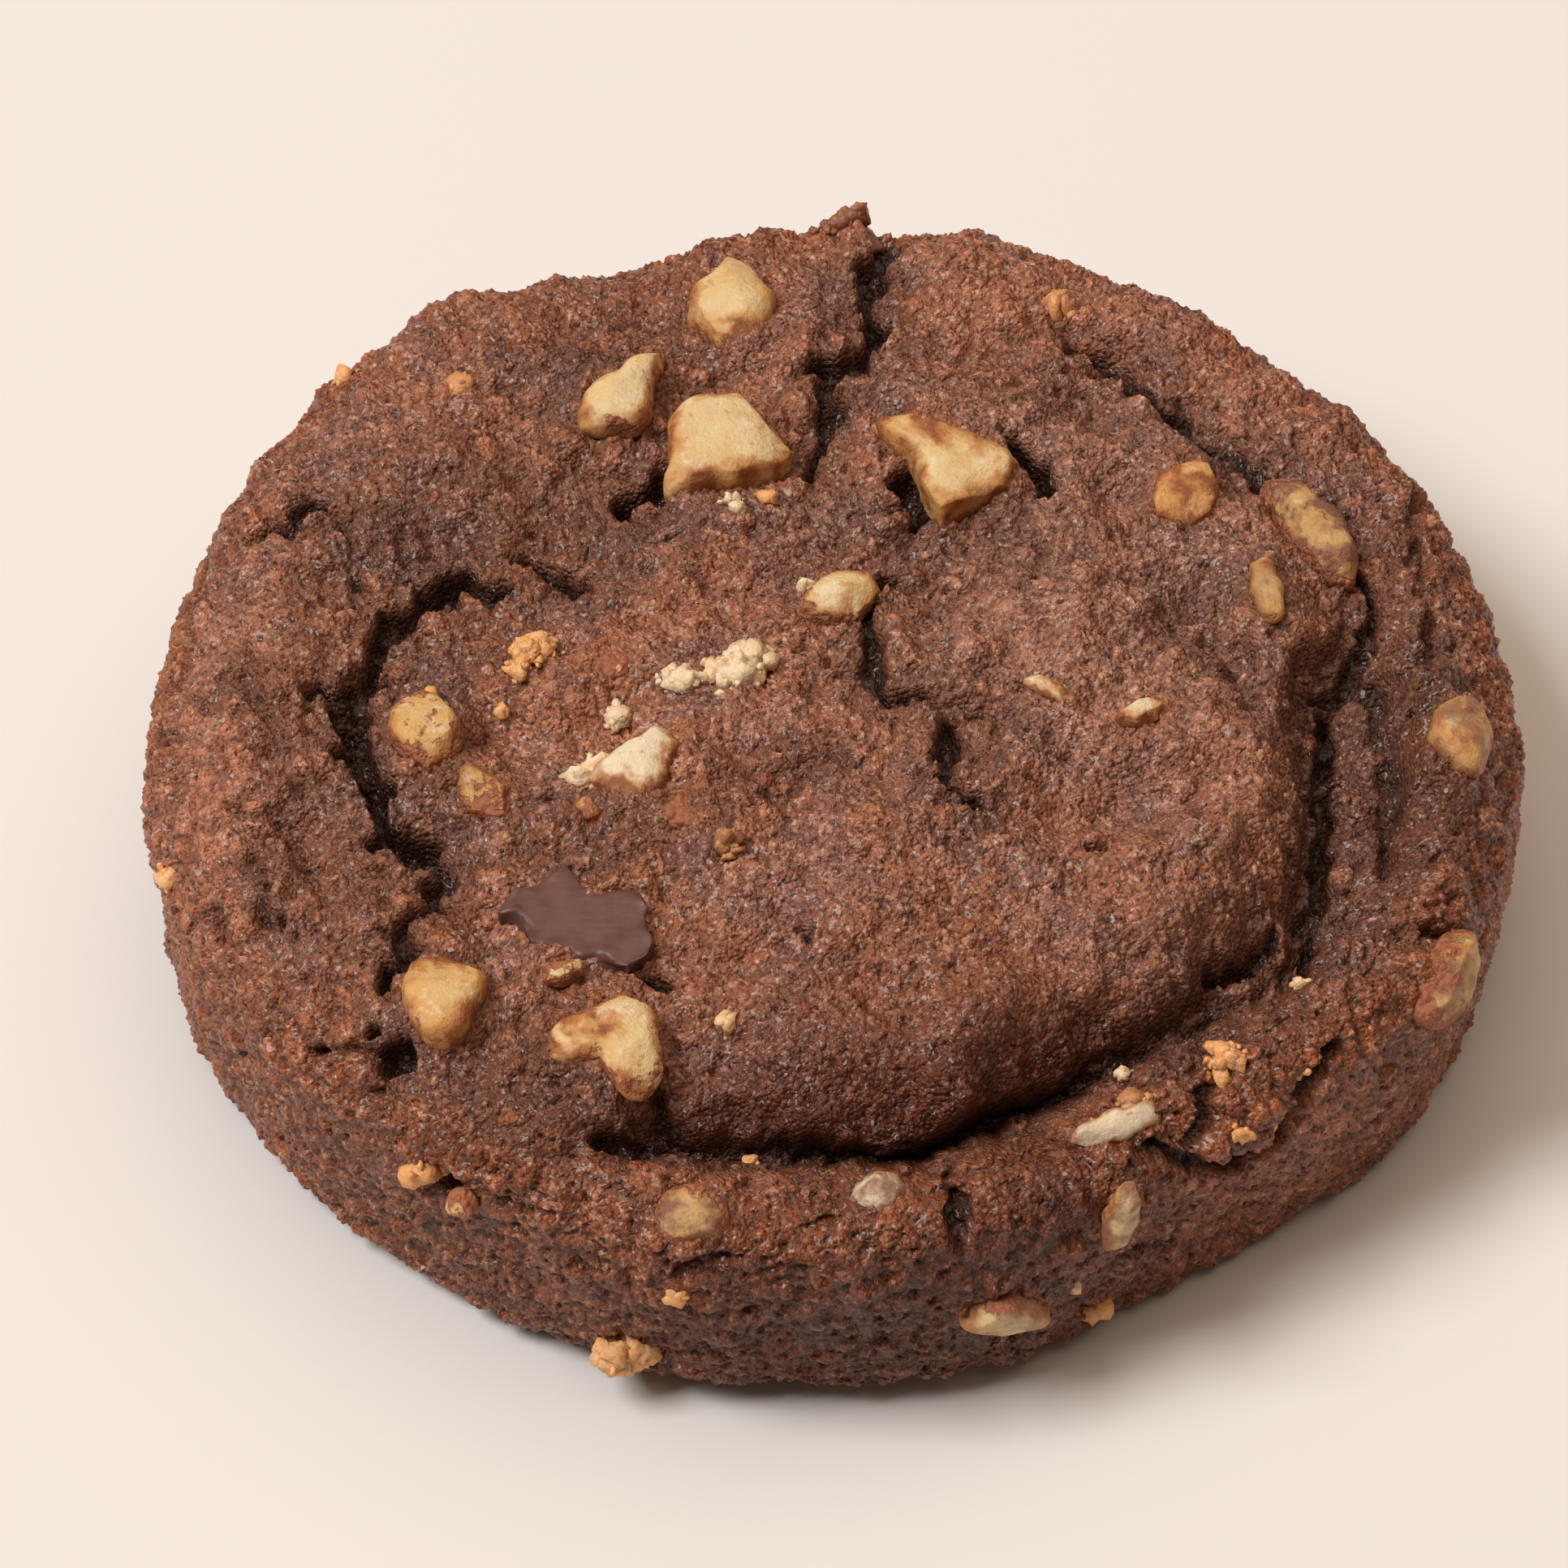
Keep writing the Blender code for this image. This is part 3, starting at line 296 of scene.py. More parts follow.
NUTS = [
    nut((-6.5, 30.4), 2.6, 2, -0.2, [(84, 4.3, 24), (-90, 3.4, 45)], 0.9, 0, gold=0.5),
    nut((-13, 21), 1.8, 1.5, 0, [(60, 4.6, 20), (-130, 3.1, 42), (-70, 2.5, 38)],
        0.9, 0, gold=0.1, coat=0.25),
    nut((-7, 18), 3.2, 1.6, -0.2, [(125, 3.7, 24), (55, 4.1, 24), (-14, 4.1, 22), (-128, 4.6, 18)],
        0.45, 1, gold=0.25),
    nut((6.8, 15.8), 2.1, 1.5, -0.2, [(-23, 4.8, 34), (118, 4.2, 17), (147, 4.7, 17), (-93, 4.6, 30)],
        0.5, 1, gold=0.35),
    nut((21, 14.2), 1.9, 1.1, 0, [(75, 2.6, 30), (225, 2.9, 25), (-85, 2.7, 30)], 0.6, gold=0.65),
    nut((28.2, 12.2), 2, 1.5, 0.1, [(-60, 4.5, 30), (120, 4.5, 28)],
        0.75, 1, gold=0.9, coat=0.35, shade=0.75),
    nut((25, 5.5), 1, 0.9, 0.1, [(98, 2.6, 30), (-82, 2.5, 30)], 1, 0, gold=0.8, coat=0.15, shade=0.3),
    nut((35.8, -4.5), 1.9, 1.5, 0.2, [(80, 2.9, 35), (-80, 2.8, 35)],
        0.9, 1, gold=0.8, coat=0.2, shade=0.45),
    nut((-23.2, -5.5), 2, 1.5, -0.2, [(110, 2.8, 35), (-80, 3, 40)], 0.8, gold=0.75, coat=0.45),
    nut((-19.8, -10), 1.5, 1.3, 0.4, [(115, 2.3, 25), (-50, 2.4, 30)],
        0.6, 3, gold=0.85, coat=0.38, shade=0.3),
    nut((-11.2, -8.5), 1.8, 1.3, 0.3, [(50, 3.8, 24), (195, 2.7, 28), (-105, 3.2, 26)],
        0.7, 1, gold=-1.7),
    nut((-22, -24.2), 2.3, 1.8, 0, [(90, 3.4, 40), (-90, 3.3, 35)], 0.6, gold=0.65, coat=0.2),
    nut((-12.2, -26.7), 2.1, 1.4, 0.1, [(196, 4.5, 32), (-71, 4.7, 32)], 0.7, 1, gold=0.3, coat=0.25),
    nut((0.2, 4.2), 1.6, 1.1, 0.5, [(30, 2.4, 30), (200, 2.4, 30)], 0.6, gold=0.3, coat=0.3),
    nut((-13.5, -0.5), 1, 0.7, 0.2, [(5, 2.1, 40), (190, 1.9, 30)], 0.6, 1, coat=0.3),
    nut((11.8, -2.8), 0.5, 0.5, 0.1, [(-35, 1.8, 25), (145, 1.7, 25)], 0.7, gold=-1.2),
    nut((17.2, -4.5), 0.9, 0.6, 0.05, [(20, 1.5, 32), (200, 1.4, 32)], 0.6, gold=-1.2),
    nut((-8.8, -12), 1.3, 0.9, 0.3, [(-40, 2, 30), (140, 1.6, 30)], coat=0.6),
    nut((-14.2, -11.5), 0.8, 0.7, 0.3, [(-70, 1.1, 35)], coat=0.35),
    nut((-15.6, -23), 0.85, 0.7, 0.2, [(20, 1.4, 30), (190, 1.3, 30)], coat=0.4),
    nut((-8.5, -38.5), 1.9, 1.2, 0.4, [(10, 2.1, 35), (200, 2, 35)], gold=0.6, coat=0.42, shade=0.55),
    # Its brown film is also painted shade, as it lies low in the fold's trench.
    nut((1.9, -36.7), 1.3, 1, 2.3, [(20, 1.7, 35)], gold=-2, coat=0.2, shade=0.5),
    nut((17, -34), 1, 0.8, 0.6, [(25, 3.2, 26), (205, 2.9, 26)], 0.7, gold=-2, coat=0, shade=0.2),
    nut((17.4, -39.6), 1, 0.8, 0.3, [(-80, 2.7, 28), (100, 2.5, 28)], gold=0.3, coat=0.2, shade=0.5),
    nut((11.2, -46.6), 1.4, 0.9, 0.2, [(0, 2.8, 32), (180, 2.7, 32)],
        0.6, gold=0.3, coat=0.2, shade=0.45),
    nut((35.8, -20.8), 1.7, 1.3, 0.3, [(-103, 3.3, 32), (77, 3.3, 32)],
        gold=0.6, coat=0.35, shade=0.45),
    nut((-22.5, -37), 0.9, 0.8, 0.3, [], coat=0.6),
]
# Flat breaks and smaller chips: how far out they lie and how they tilt
CUT_SHARES = (0.62, 0.82)
CUT_TILTS = (15, 70)
CHIPS = 12
CHIP_SHARES = (0.86, 0.97)
CHIP_GROWTH = 1.03
CHIP_TILTS = (-10, 85)

# The chunk of chocolate: its outline round its place, and how it sits in the dough
CHUNK_PLACE = (-14.8, -18.8)
CHUNK_OUTLINE = [
    (-0.5, 3.9), (-2.2, 2.4), (-3.5, 2.2), (-4.4, 0.3), (-3.4, -0.4), (-2.4, -2.4), (0.1, -2.9),
    (1.6, -3.4), (3, -4), (4.1, -3.2), (4.1, -1), (3.8, 1.6), (2.5, 2.4), (0.7, 1.6), (0.1, 2.6),
]
CHUNK_THICKNESS = 2.6
CHUNK_RISE = 0.15
CHUNK_TILT = (0.03, -0.01)
CHUNK_BARE = 0.9
CHUNK_BARE_EDGE = 0.9
CHUNK_VOXEL = 0.12
CHUNK_RELAX = 4
CHUNK_EDGE = 1.2
CHUNK_EDGE_WAVE = 0.5
CHUNK_WAVE = 0.06
CHUNK_WAVE_SIZE = 1.4

# Loose crumbs: place, half widths along and across, turn, height, size of a grain, how many, and
# tint (0 cream, 1 orange, 2 like the dough)
CRUMBS = [
    ((-8.7, -1.7), 1.6, 0.8, -10, 0.7, 0.32, 34, 0.1),
    ((-5.5, -0.8), 2, 1.5, 25, 1.5, 0.36, 90, 0.15), ((-17.6, 0.2), 1.9, 1.2, 55, 1, 0.32, 60, 0.9),
    ((-23.5, -3), 0.8, 0.4, 10, 0.5, 0.28, 9, 0.7), ((-22.4, -3.4), 0.4, 0.3, 0, 0.3, 0.28, 4, 0.5),
    ((-19, -3.3), 0.3, 0.2, 0, 0.3, 0.3, 3, 0.7), ((-12.5, -3.8), 0.9, 0.5, 80, 0.4, 0.34, 14, 0.1),
    ((-6.4, 12.4), 0.7, 0.4, -20, 0.4, 0.24, 10, 0), ((-6, 11.6), 0.5, 0.3, 0, 0.3, 0.22, 6, 0),
    ((-4.2, 13.7), 0.4, 0.3, 0, 0.4, 0.28, 5, 0.9), ((-2, 6.7), 0.4, 0.3, 80, 0.2, 0.25, 4, 0.2),
    ((-6.2, -15), 0.8, 0.5, 70, 0.5, 0.34, 11, 1.6),
    ((-6.2, -25.7), 0.7, 0.3, 80, 0.3, 0.26, 6, 0.6),
    ((-14, -8.5), 1.1, 0.8, 60, 0.5, 0.36, 22, 0.3), ((24, -29.3), 1.2, 0.8, 75, 0.7, 0.33, 24, 1),
    ((23.7, -30.7), 0.7, 0.4, 0, 0.4, 0.3, 9, 1), ((25, -34), 0.5, 0.4, 0, 0.5, 0.3, 7, 1.1),
    ((29, -33), 0.4, 0.4, 0, 0.4, 0.3, 6, 1.1), ((29.2, -29.5), 0.4, 0.3, 0, 0.4, 0.28, 5, 0.8),
    ((28, -22), 0.4, 0.3, 0, 0.3, 0.26, 4, 0.5), ((18.2, -30.7), 0.3, 0.3, 0, 0.3, 0.26, 4, 0.3),
    ((18.7, -33.3), 0.9, 0.5, 20, 0.4, 0.36, 12, 1.4),
    ((-16.3, -50), 1.6, 0.9, -10, 1, 0.4, 34, 0.9),
    ((-14.9, -50.7), 0.8, 0.5, -20, 0.6, 0.36, 10, 0.8),
    ((-10, -44), 0.5, 0.4, 0, 0.4, 0.3, 6, 1.1), ((20.2, -48.8), 0.6, 0.5, 0, 0.5, 0.32, 8, 1.1),
    ((16.8, -46), 0.4, 0.4, 0, 0.3, 0.3, 5, 0.5), ((-5.2, -34.5), 0.2, 0.2, 0, 0.3, 0.34, 2, 1.2),
    ((-25.5, -35.2), 0.7, 0.5, 0, 0.5, 0.45, 8, 1.2),
    ((-22.2, 22.2), 0.8, 0.4, 80, 0.3, 0.34, 8, 1.4),
    ((14, 31.2), 1.2, 0.5, -30, 0.4, 0.34, 14, 1.5), ((-30, 26.2), 0.6, 0.3, 40, 0.3, 0.28, 6, 1.1),
    ((-38.7, -13), 0.8, 0.4, 90, 0.3, 0.34, 8, 0.8), ((0.6, 38.8), 2, 0.6, 0, 0.7, 0.36, 40, 2),
]
CRUMB_CORES = 0.45
CRUMB_CORE_SIZE = 1.8
CRUMB_GRAINS = 1.2
CRUMB_GRAIN_SIZE = 0.7
CRUMB_SPREAD = 0.45
CRUMB_DETAIL = 2
CORE_HEAP = 0.38
GRAIN_HEAP = 0.5
CORE_LIFT = 0.5
GRAIN_LIFT = 0.3
GRAIN_LIFT_SHARES = (0.3, 1)
HEAP_LIMIT = 2
CRUMB_TINT_SPREAD = 0.25
CRUMB_FLATNESS = (0.6, 1.2)
CRUMB_LUMPS = 0.8
CRUMB_LUMP_SIZE = 0.7
CRUMB_SEED = 5

# Camera: raised at the front, and where it looks
CAMERA_RISE = 49
CAMERA_DISTANCE = 500
CAMERA_TARGET = (-3.1, 7.3, 0)
SENSOR = 36
LENS = 190.5

# Soft lights, a key from the left and a broad fill from behind: name, degrees up, degrees round,
# metres away, metres wide, watts and colour. Then the room's even glow.
LIGHTS = [
    ("key", 54, 189, 2, 0.9, 31.5, (0.975, 1, 1.025)),
    ("fill", 75, 66, 2, 2.6, 24, (1.04, 0.83, 0.66)),
]
GLOW = 0.1
GLOW_COLOUR = (1.04, 0.83, 0.66)
FLOOR_COLOUR = (0.84, 0.803, 0.765)
FLOOR_HALF = 1.5


def smooth(value, low, high):
    """Ease from 0 at low to 1 at high."""
    t = np.clip((value - low) / (high - low), 0, 1)
    return t * t * (3 - 2 * t)


def profile():
    """Way along the skin, radius and height, from the middle of the top to the middle of the base."""
    flat = RADIUS - SHOULDER_WIDTH
    quarter = np.linspace(0, np.pi / 2, PROFILE_STEPS)[1:]
    run = np.linspace(0, 1, PROFILE_STEPS)
    foot_radius = RADIUS - TAPER - FOOT
    top_z = HEIGHT + CROWN * (1 - run**2)
    side = run[1:]
    side_z = (HEIGHT - SHOULDER_DROP) * (1 - side) + FOOT * side
    r = np.concatenate([
        flat * run,
        flat + SHOULDER_WIDTH * np.sin(quarter),
        RADIUS - TAPER * side**2,
        foot_radius + FOOT * np.cos(quarter),
        foot_radius * (1 - side),
    ])
    z = np.concatenate([
        top_z,
        HEIGHT - SHOULDER_DROP + SHOULDER_DROP * np.cos(quarter),
        side_z,
        FOOT - FOOT * np.sin(quarter),
        np.zeros(len(side)),
    ])
    way = np.concatenate([[0], np.cumsum(np.hypot(np.diff(r), np.diff(z)))])
    return way, r, z


WAY, PROFILE_R, PROFILE_Z = profile()
BASE_WAY = WAY[-1] - (RADIUS - TAPER - FOOT)
SHOULDER_WAY = RADIUS - SHOULDER_WIDTH


def turned_from(angles, direction):
    """Degrees between angles (radians) and a direction (degrees)."""
    return (np.degrees(angles) - direction + 180) % 360 - 180


def polar(points):
    """Distance and direction of points from the middle, on the map or seen from above."""
    return np.hypot(points[:, 0], points[:, 1]), np.arctan2(points[:, 1], points[:, 0])


def skin(places):
    """Points of the smooth dough at map places, with their outward, radial and sideways directions."""
    way, angle = polar(places)
    stretch = np.ones(len(places))
    for direction, width, outward in LOBES:
        stretch += outward / RADIUS * np.exp(-(turned_from(angle, direction) / width) ** 2)
    r = np.interp(way, WAY, PROFILE_R)
    z = np.interp(way, WAY, PROFILE_Z)
    slope_r = np.interp(way, WAY, np.gradient(PROFILE_R, WAY))
    slope_z = np.interp(way, WAY, np.gradient(PROFILE_Z, WAY))
    length = np.hypot(slope_r, slope_z)
    slope_r, slope_z = slope_r / length, slope_z / length
    cos, sin = np.cos(angle), np.sin(angle)
    points = np.stack([r * stretch * cos, r * stretch * sin, z], axis=1)
    outward = np.stack([-slope_z * cos, -slope_z * sin, slope_r], axis=1)
    radial = np.stack([slope_r * cos, slope_r * sin, slope_z], axis=1)
    sideways = np.stack([-sin, cos, np.zeros(len(places))], axis=1)
    return points, outward, radial, sideways


def wave(points, size, shift=0):
    """Smooth random heights between about -1 and 1, of lumps of the given size. Another shift
    gives other lumps."""
    return np.array([noise.noise(p) for p in (points / size + shift).tolist()])


def waves(points, size, *shifts):
    """Such heights side by side, for each of some shifts."""
    return np.stack([wave(points, size, shift) for shift in shifts], axis=1)


def to_local(places, place, turn):
    """Places seen from a place, along and across a direction."""
    angle = np.radians(turn)
    dx = places[:, 0] - place[0]
    dy = places[:, 1] - place[1]
    along = dx * np.cos(angle) + dy * np.sin(angle)
    across = dy * np.cos(angle) - dx * np.sin(angle)
    return along, across


def from_line(places, line):
    """Distance from a line of places, the side (1 on its right), and how far along the line."""
    nearest = np.full(len(places), np.inf)
    side = np.ones(len(places))
    along = np.zeros(len(places))
    line = np.array(line)[:, :2]
    for i, (start, end) in enumerate(zip(line[:-1], line[1:])):
        run = end - start
        offset = places - start
        t = np.clip(offset @ run / (run @ run), 0, 1)
        gap = offset - t[:, None] * run
        distance = np.hypot(gap[:, 0], gap[:, 1])
        closer = distance < nearest
        nearest = np.where(closer, distance, nearest)
        side = np.where(closer, np.sign(run[1] * offset[:, 0] - run[0] * offset[:, 1]), side)
        along = np.where(closer, i + t, along)
    return nearest, side, along


def spot_share(places, place, half_along, half_across, turn=0):
    """A soft oval spot: 1 in its middle, fading to 0."""
    along, across = to_local(places, place, turn)
    return np.exp(-(along / half_along) ** 2 - (across / half_across) ** 2)


def mounds(places):
    """Height of the broad mounds and hollows."""
    return sum(rise * spot_share(places, *spot) for *spot, rise in MOUNDS)


def reach_of(piece, angle):
    """Radius of a walnut piece's outline in a direction."""
    reach = np.full(len(angle), float(piece["radius"]))
    for direction, length, width in piece["arms"]:
        spread = np.exp(-(turned_from(angle, direction) / width) ** 2)
        reach += (length - piece["radius"]) * spread
    return reach


def collars(places):
    """Height of the dough's collars round the nuts, and how near a nut each place is, from 0 to 1."""
    height = np.zeros(len(places))
    warm = np.zeros(len(places))
    for piece in NUTS:
        way, angle = polar(places - piece["place"])
        near = way < NUT_NEAR
        gap = np.maximum(way[near] - reach_of(piece, angle[near]), 0)
        rise = COLLAR * min(1, piece["radius"] / COLLAR_FULL) * (1 + COLLAR_COAT * piece["coat"])
        height[near] = np.maximum(height[near], rise * np.exp(-gap**2 / COLLAR_REACH**2))
        warm[near] = np.maximum(warm[near], np.exp(-gap**2 / WARM_REACH**2))
    return height, warm


def fold(places):
    """Height of the fold, its strength and how near its line is, both from 0 to 1."""
    bent = places + FOLD_BEND * waves(skin(places)[0], FOLD_BEND_SIZE, 5, 45)
    distance, side, along = from_line(bent, FOLD_PATH)
    strength = np.interp(along, np.arange(len(FOLD_PATH)), [p[2] for p in FOLD_PATH])
    steps, heights = zip(*FOLD_SECTION)
    near = np.exp(-(distance / FOLD_REACH) ** 2) * smooth(strength, 0, FOLD_FADE)
    return FOLD_DEPTH * strength * np.interp(distance * side, steps, heights), strength, near


def torn(places, crack_distance):
    """How torn and coarse the crumb is, from SMOOTH_CRUMB to 1."""
    share = SIDE_TORN * smooth(polar(places)[0] - SHOULDER_WAY, *SIDE_TORN_WAYS)
    for spot in TORN_PLACES:
        share = np.maximum(share, spot_share(places, *spot))
    share = np.maximum(share, np.exp(-(crack_distance / TORN_CRACK_REACH) ** 2))
    return SMOOTH_CRUMB + (1 - SMOOTH_CRUMB) * share


def painted_shade_and_moist(places):
    """How much painted shade, partly moist crumb, darkens the crumb, or below 0 how much painted light
    lightens it.
    """
    share = sum(amount * spot_share(places, *spot) for *spot, amount in SHADE_AND_MOIST_PLACES)
    return share.clip(-1, 0.95)


def cells(points, size, shift):
    """Rounded cells of a size: 0 in the creases between them, near 1 on them."""
    gaps = np.array([noise.voronoi(p)[0][:2] for p in (points / size + shift).tolist()])
    return np.sqrt(smooth(gaps[:, 1] - gaps[:, 0], 0, CELL_CREASE))


def crumb(points, coarse, on_side):
    """Height of the fine crumb, the painted shade in its creases, and the painted shade of its holes.
    """
    stretched = points.copy()
    stretched[:, 2] *= 1 + (SIDE_STRETCH - 1) * on_side
    warped = stretched + CRUMB_WARP * waves(points, CRUMB_WARP_SIZE, 2, 12, 22)
    clumps = cells(warped, CLUMP_SIZE, 17.3)
    curds = cells(warped, CURD_SIZE, 41.3)
    grains = cells(points, GRAIN_SIZE, 73.1)
    fine_grains = cells(points, FINE_GRAIN_SIZE, 33.7)
    hollow = wave(stretched, HOLE_SIZE, 91.7)
    holes = smooth(hollow, HOLE_SHARE, HOLE_SHARE + HOLE_WALL) * coarse
    hollow = wave(stretched, PINHOLE_SIZE, 19.9)
    pinholes = smooth(hollow, PINHOLE_SHARE, PINHOLE_SHARE + PINHOLE_WALL)
    large = coarse * (1 - (1 - SIDE_CRUMB) * on_side)
    lumps = CLUMP_RISE * (clumps - CELL_LEVEL) + CURD_RISE * (curds - CELL_LEVEL)
    fine = (SMOOTH_GRAIN + (1 - SMOOTH_GRAIN) * coarse) * (1 - (1 - SIDE_GRAIN) * on_side)
    sand = GRAIN_RISE * (grains - CELL_LEVEL) + FINE_GRAIN_RISE * (fine_grains - CELL_LEVEL)
    height = large * lumps - HOLE_DEPTH * holes + fine * sand
    height -= PINHOLE_DEPTH * pinholes + CRUMB_SINK
    grain_crease_shade = GRAIN_CREASE_SHADE * (1 - grains) + FINE_GRAIN_CREASE_SHADE * (1 - fine_grains)
    crease_shade = LARGE_CREASE_SHADE * (2 - curds - clumps) * large + fine * grain_crease_shade
    return height, crease_shade, np.maximum(holes, HOLE_SHADE * pinholes)


def chunk_inside(points):
    """Distance of flat points from the chunk's outline, positive inside."""
    outline = CHUNK_OUTLINE + CHUNK_OUTLINE[:1]
    distance = from_line(points, outline)[0]
    inside = np.zeros(len(points), dtype=bool)
    for (x0, y0), (x1, y1) in zip(outline[:-1], outline[1:]):
        crosses = (y0 > points[:, 1]) != (y1 > points[:, 1])
        at = x0 + (points[:, 1] - y0) / np.where(y1 == y0, 1e-9, y1 - y0) * (x1 - x0)
        inside ^= crosses & (points[:, 0] < at)
    return np.where(inside, distance, -distance)


def relief(places, points):
    """Height of the skin over the smooth dough, its lean under the fold's lip, and what colours it:
    painted shade as deep as it lies in a crack, a hole or the fold's trench, how far down the side
    it lies, painted shade in its creases, how near a nut, painted shade (partly moist crumb) on faces
    turned from the light and painted light on faces turned toward it, and a painted sheen where it
    is greyer."""
    warped = places.copy()
    for size, reach in WARPS:
        warped += reach * waves(points, size, 7.3, 31.7)
    collar, warm = collars(places)
    height = mounds(places) + collar
    folded, strength, fold_near = fold(warped)
    height += folded
    sunk = np.zeros(len(places))
    nearest = np.full(len(places), np.inf)
    uneven = np.maximum(1 + CRACK_UNEVEN * wave(points, CRACK_UNEVEN_SIZE, 63), CRACK_LEAST)
    for half_width, depth, line in CRACKS + FINE_CRACKS:
        distance = from_line(warped, line)[0] * uneven
        wall = smooth(distance / half_width, 1 - CRACK_WALL, 1 + CRACK_WALL)
        sunk = np.maximum(sunk, depth * (1 - wall))
        nearest = np.minimum(nearest, distance)
    for place, half_length, half_width, turn, depth in PITS:
        along, across = to_local(warped, place, turn)
        reach = np.hypot(along / half_length, across / half_width) * uneven
        sunk = np.maximum(sunk, depth * (1 - smooth(reach, 1 - PIT_WALL, 1 + PIT_WALL)))
    height -= sunk
    on_side = smooth(polar(places)[0] - SHOULDER_WAY, *SIDE_WAYS)
    for i, (size, rise) in enumerate(LUMPS):
        height += rise * (1 - (1 - SIDE_LUMPS) * on_side) * wave(points, size, 11.1 * i)
    coarse = np.maximum(torn(places, nearest), fold_near)
    fine, crease_shade, holes = crumb(points, coarse, on_side)
    height += fine
    height -= CHUNK_BARE * smooth(chunk_inside(places - CHUNK_PLACE), 0, CHUNK_BARE_EDGE)
    lean = FOLD_LEAN * strength * np.minimum(folded, 0)
    # Painted shadow in the fold's trench, and painted shade in cracks, pits and holes
    shadow = FOLD_SHADOW * strength * fold_near**3 * smooth(-folded, *FOLD_SHADOW_DEPTHS)
    painted_shade = sunk + HOLE_SHADE * holes + shadow
    # Painted sheen: a greyer tone on the plateau's right
    grey = spot_share(places, SHEEN_PLACE, *SHEEN_REACH)
    looks = dict(depth=painted_shade, side=on_side, crease_shade=crease_shade, warm=warm, painted_shade_and_moist=painted_shade_and_moist(warped), grey=grey)
    return height, lean, looks


def curl_up(points):
    """Lift the base's edge at the front."""
    r, angle = polar(points)
    near_edge = smooth(r, RADIUS - TAPER - CURL_REACH, RADIUS - TAPER)
    near_base = 1 - smooth(points[:, 2], 0, CURL_HEIGHT)
    front = np.exp(-(turned_from(angle, CURL_DIRECTION) / CURL_WIDTH) ** 2)
    points[:, 2] += CURL_LIFT * near_edge * near_base * front


def rings():
    """Rings of map places over the whole skin, each as an array, with their ways."""
    spacing = SPACING
    ways = [*np.arange(spacing, BASE_WAY, spacing), *np.arange(BASE_WAY, WAY[-1] - 2, BASE_SPACING)]
    result = []
    for i, way in enumerate(ways):
        step = spacing if way < BASE_WAY else BASE_SPACING
        count = max(6, round(2 * np.pi * np.interp(way, WAY, PROFILE_R) / step))
        angles = (np.arange(count) + 0.5 * (i % 2)) * 2 * np.pi / count
        result.append(way * np.stack([np.cos(angles), np.sin(angles)], axis=1))
    return ways, result


def stitch(first, count, next_first, next_count, shift, next_shift):
    """Triangles between two rings of points, the second outside the first."""
    faces = []
    i = j = 0
    while i < count or j < next_count:
        here = (i + 1 + shift) / count
        there = (j + 1 + next_shift) / next_count
        a, b = first + i % count, next_first + j % next_count
        if j == next_count or (i < count and here <= there):
            faces.append((a, b, first + (i + 1) % count))
            i += 1
        else:
            faces.append((a, b, next_first + (j + 1) % next_count))
            j += 1
    return faces


def on_dough(places):
    """Points of the finished skin at map places, with its outward direction and its looks."""
    points, outward, radial, _ = skin(places)
    height, lean, looks = relief(places, points)
    skinned = 1 - smooth(polar(places)[0], BASE_WAY, BASE_WAY + BASE_SPACING)
    points = points + (height * skinned)[:, None] * outward + (lean * skinned)[:, None] * radial
    points[:, 2] = np.maximum(points[:, 2], 0)
    curl_up(points)
    return points, outward, looks


def level_at(place):
    """Height of the mounds and the fold at a place."""
    here = np.array([place], dtype=float)
    return mounds(here)[0] + fold(here)[0][0]


def place_on_dough(local, place, lift):
    """Points given over the skin at a place (map x, map y, outward), as points of the cookie."""
    points, outward, radial, sideways = (values[0] for values in skin(np.array([place], dtype=float)))
    angle = np.arctan2(place[1], place[0])
    along_x = np.cos(angle) * radial - np.sin(angle) * sideways
    along_y = np.sin(angle) * radial + np.cos(angle) * sideways
    middle = points + (level_at(place) + lift) * outward
    return middle + local @ np.stack([along_x, along_y, outward])


def ball(detail):
    """Points and triangles of a unit ball."""
    shape = bmesh.new()
    bmesh.ops.create_icosphere(shape, subdivisions=detail, radius=1.0)
    unit = np.array([v.co for v in shape.verts])
    faces = [tuple(v.index for v in f.verts) for f in shape.faces]
    shape.free()
    return unit, faces


def clearance(places, rise, place):
    """How far points at a rise over a place's level stand clear of the dough."""
    return rise - (relief(places, skin(places)[0])[0] - level_at(place))


def broken(local, cuts, number, shares=CUT_SHARES, tilts=CUT_TILTS):
    """Flatten a piece along a few planes, as breaks leave it."""
    draw = np.random.default_rng(number)
    for _ in range(cuts):
        turn = np.radians(draw.uniform(0, 360))
        tilt = np.radians(draw.uniform(*tilts))
        normal = np.array([np.cos(turn) * np.cos(tilt), np.sin(turn) * np.cos(tilt), np.sin(tilt)])
        reach = local @ normal
        over = np.maximum(reach - draw.uniform(*shares) * reach.max(), 0)
        local = local - over[:, None] * normal
    return local


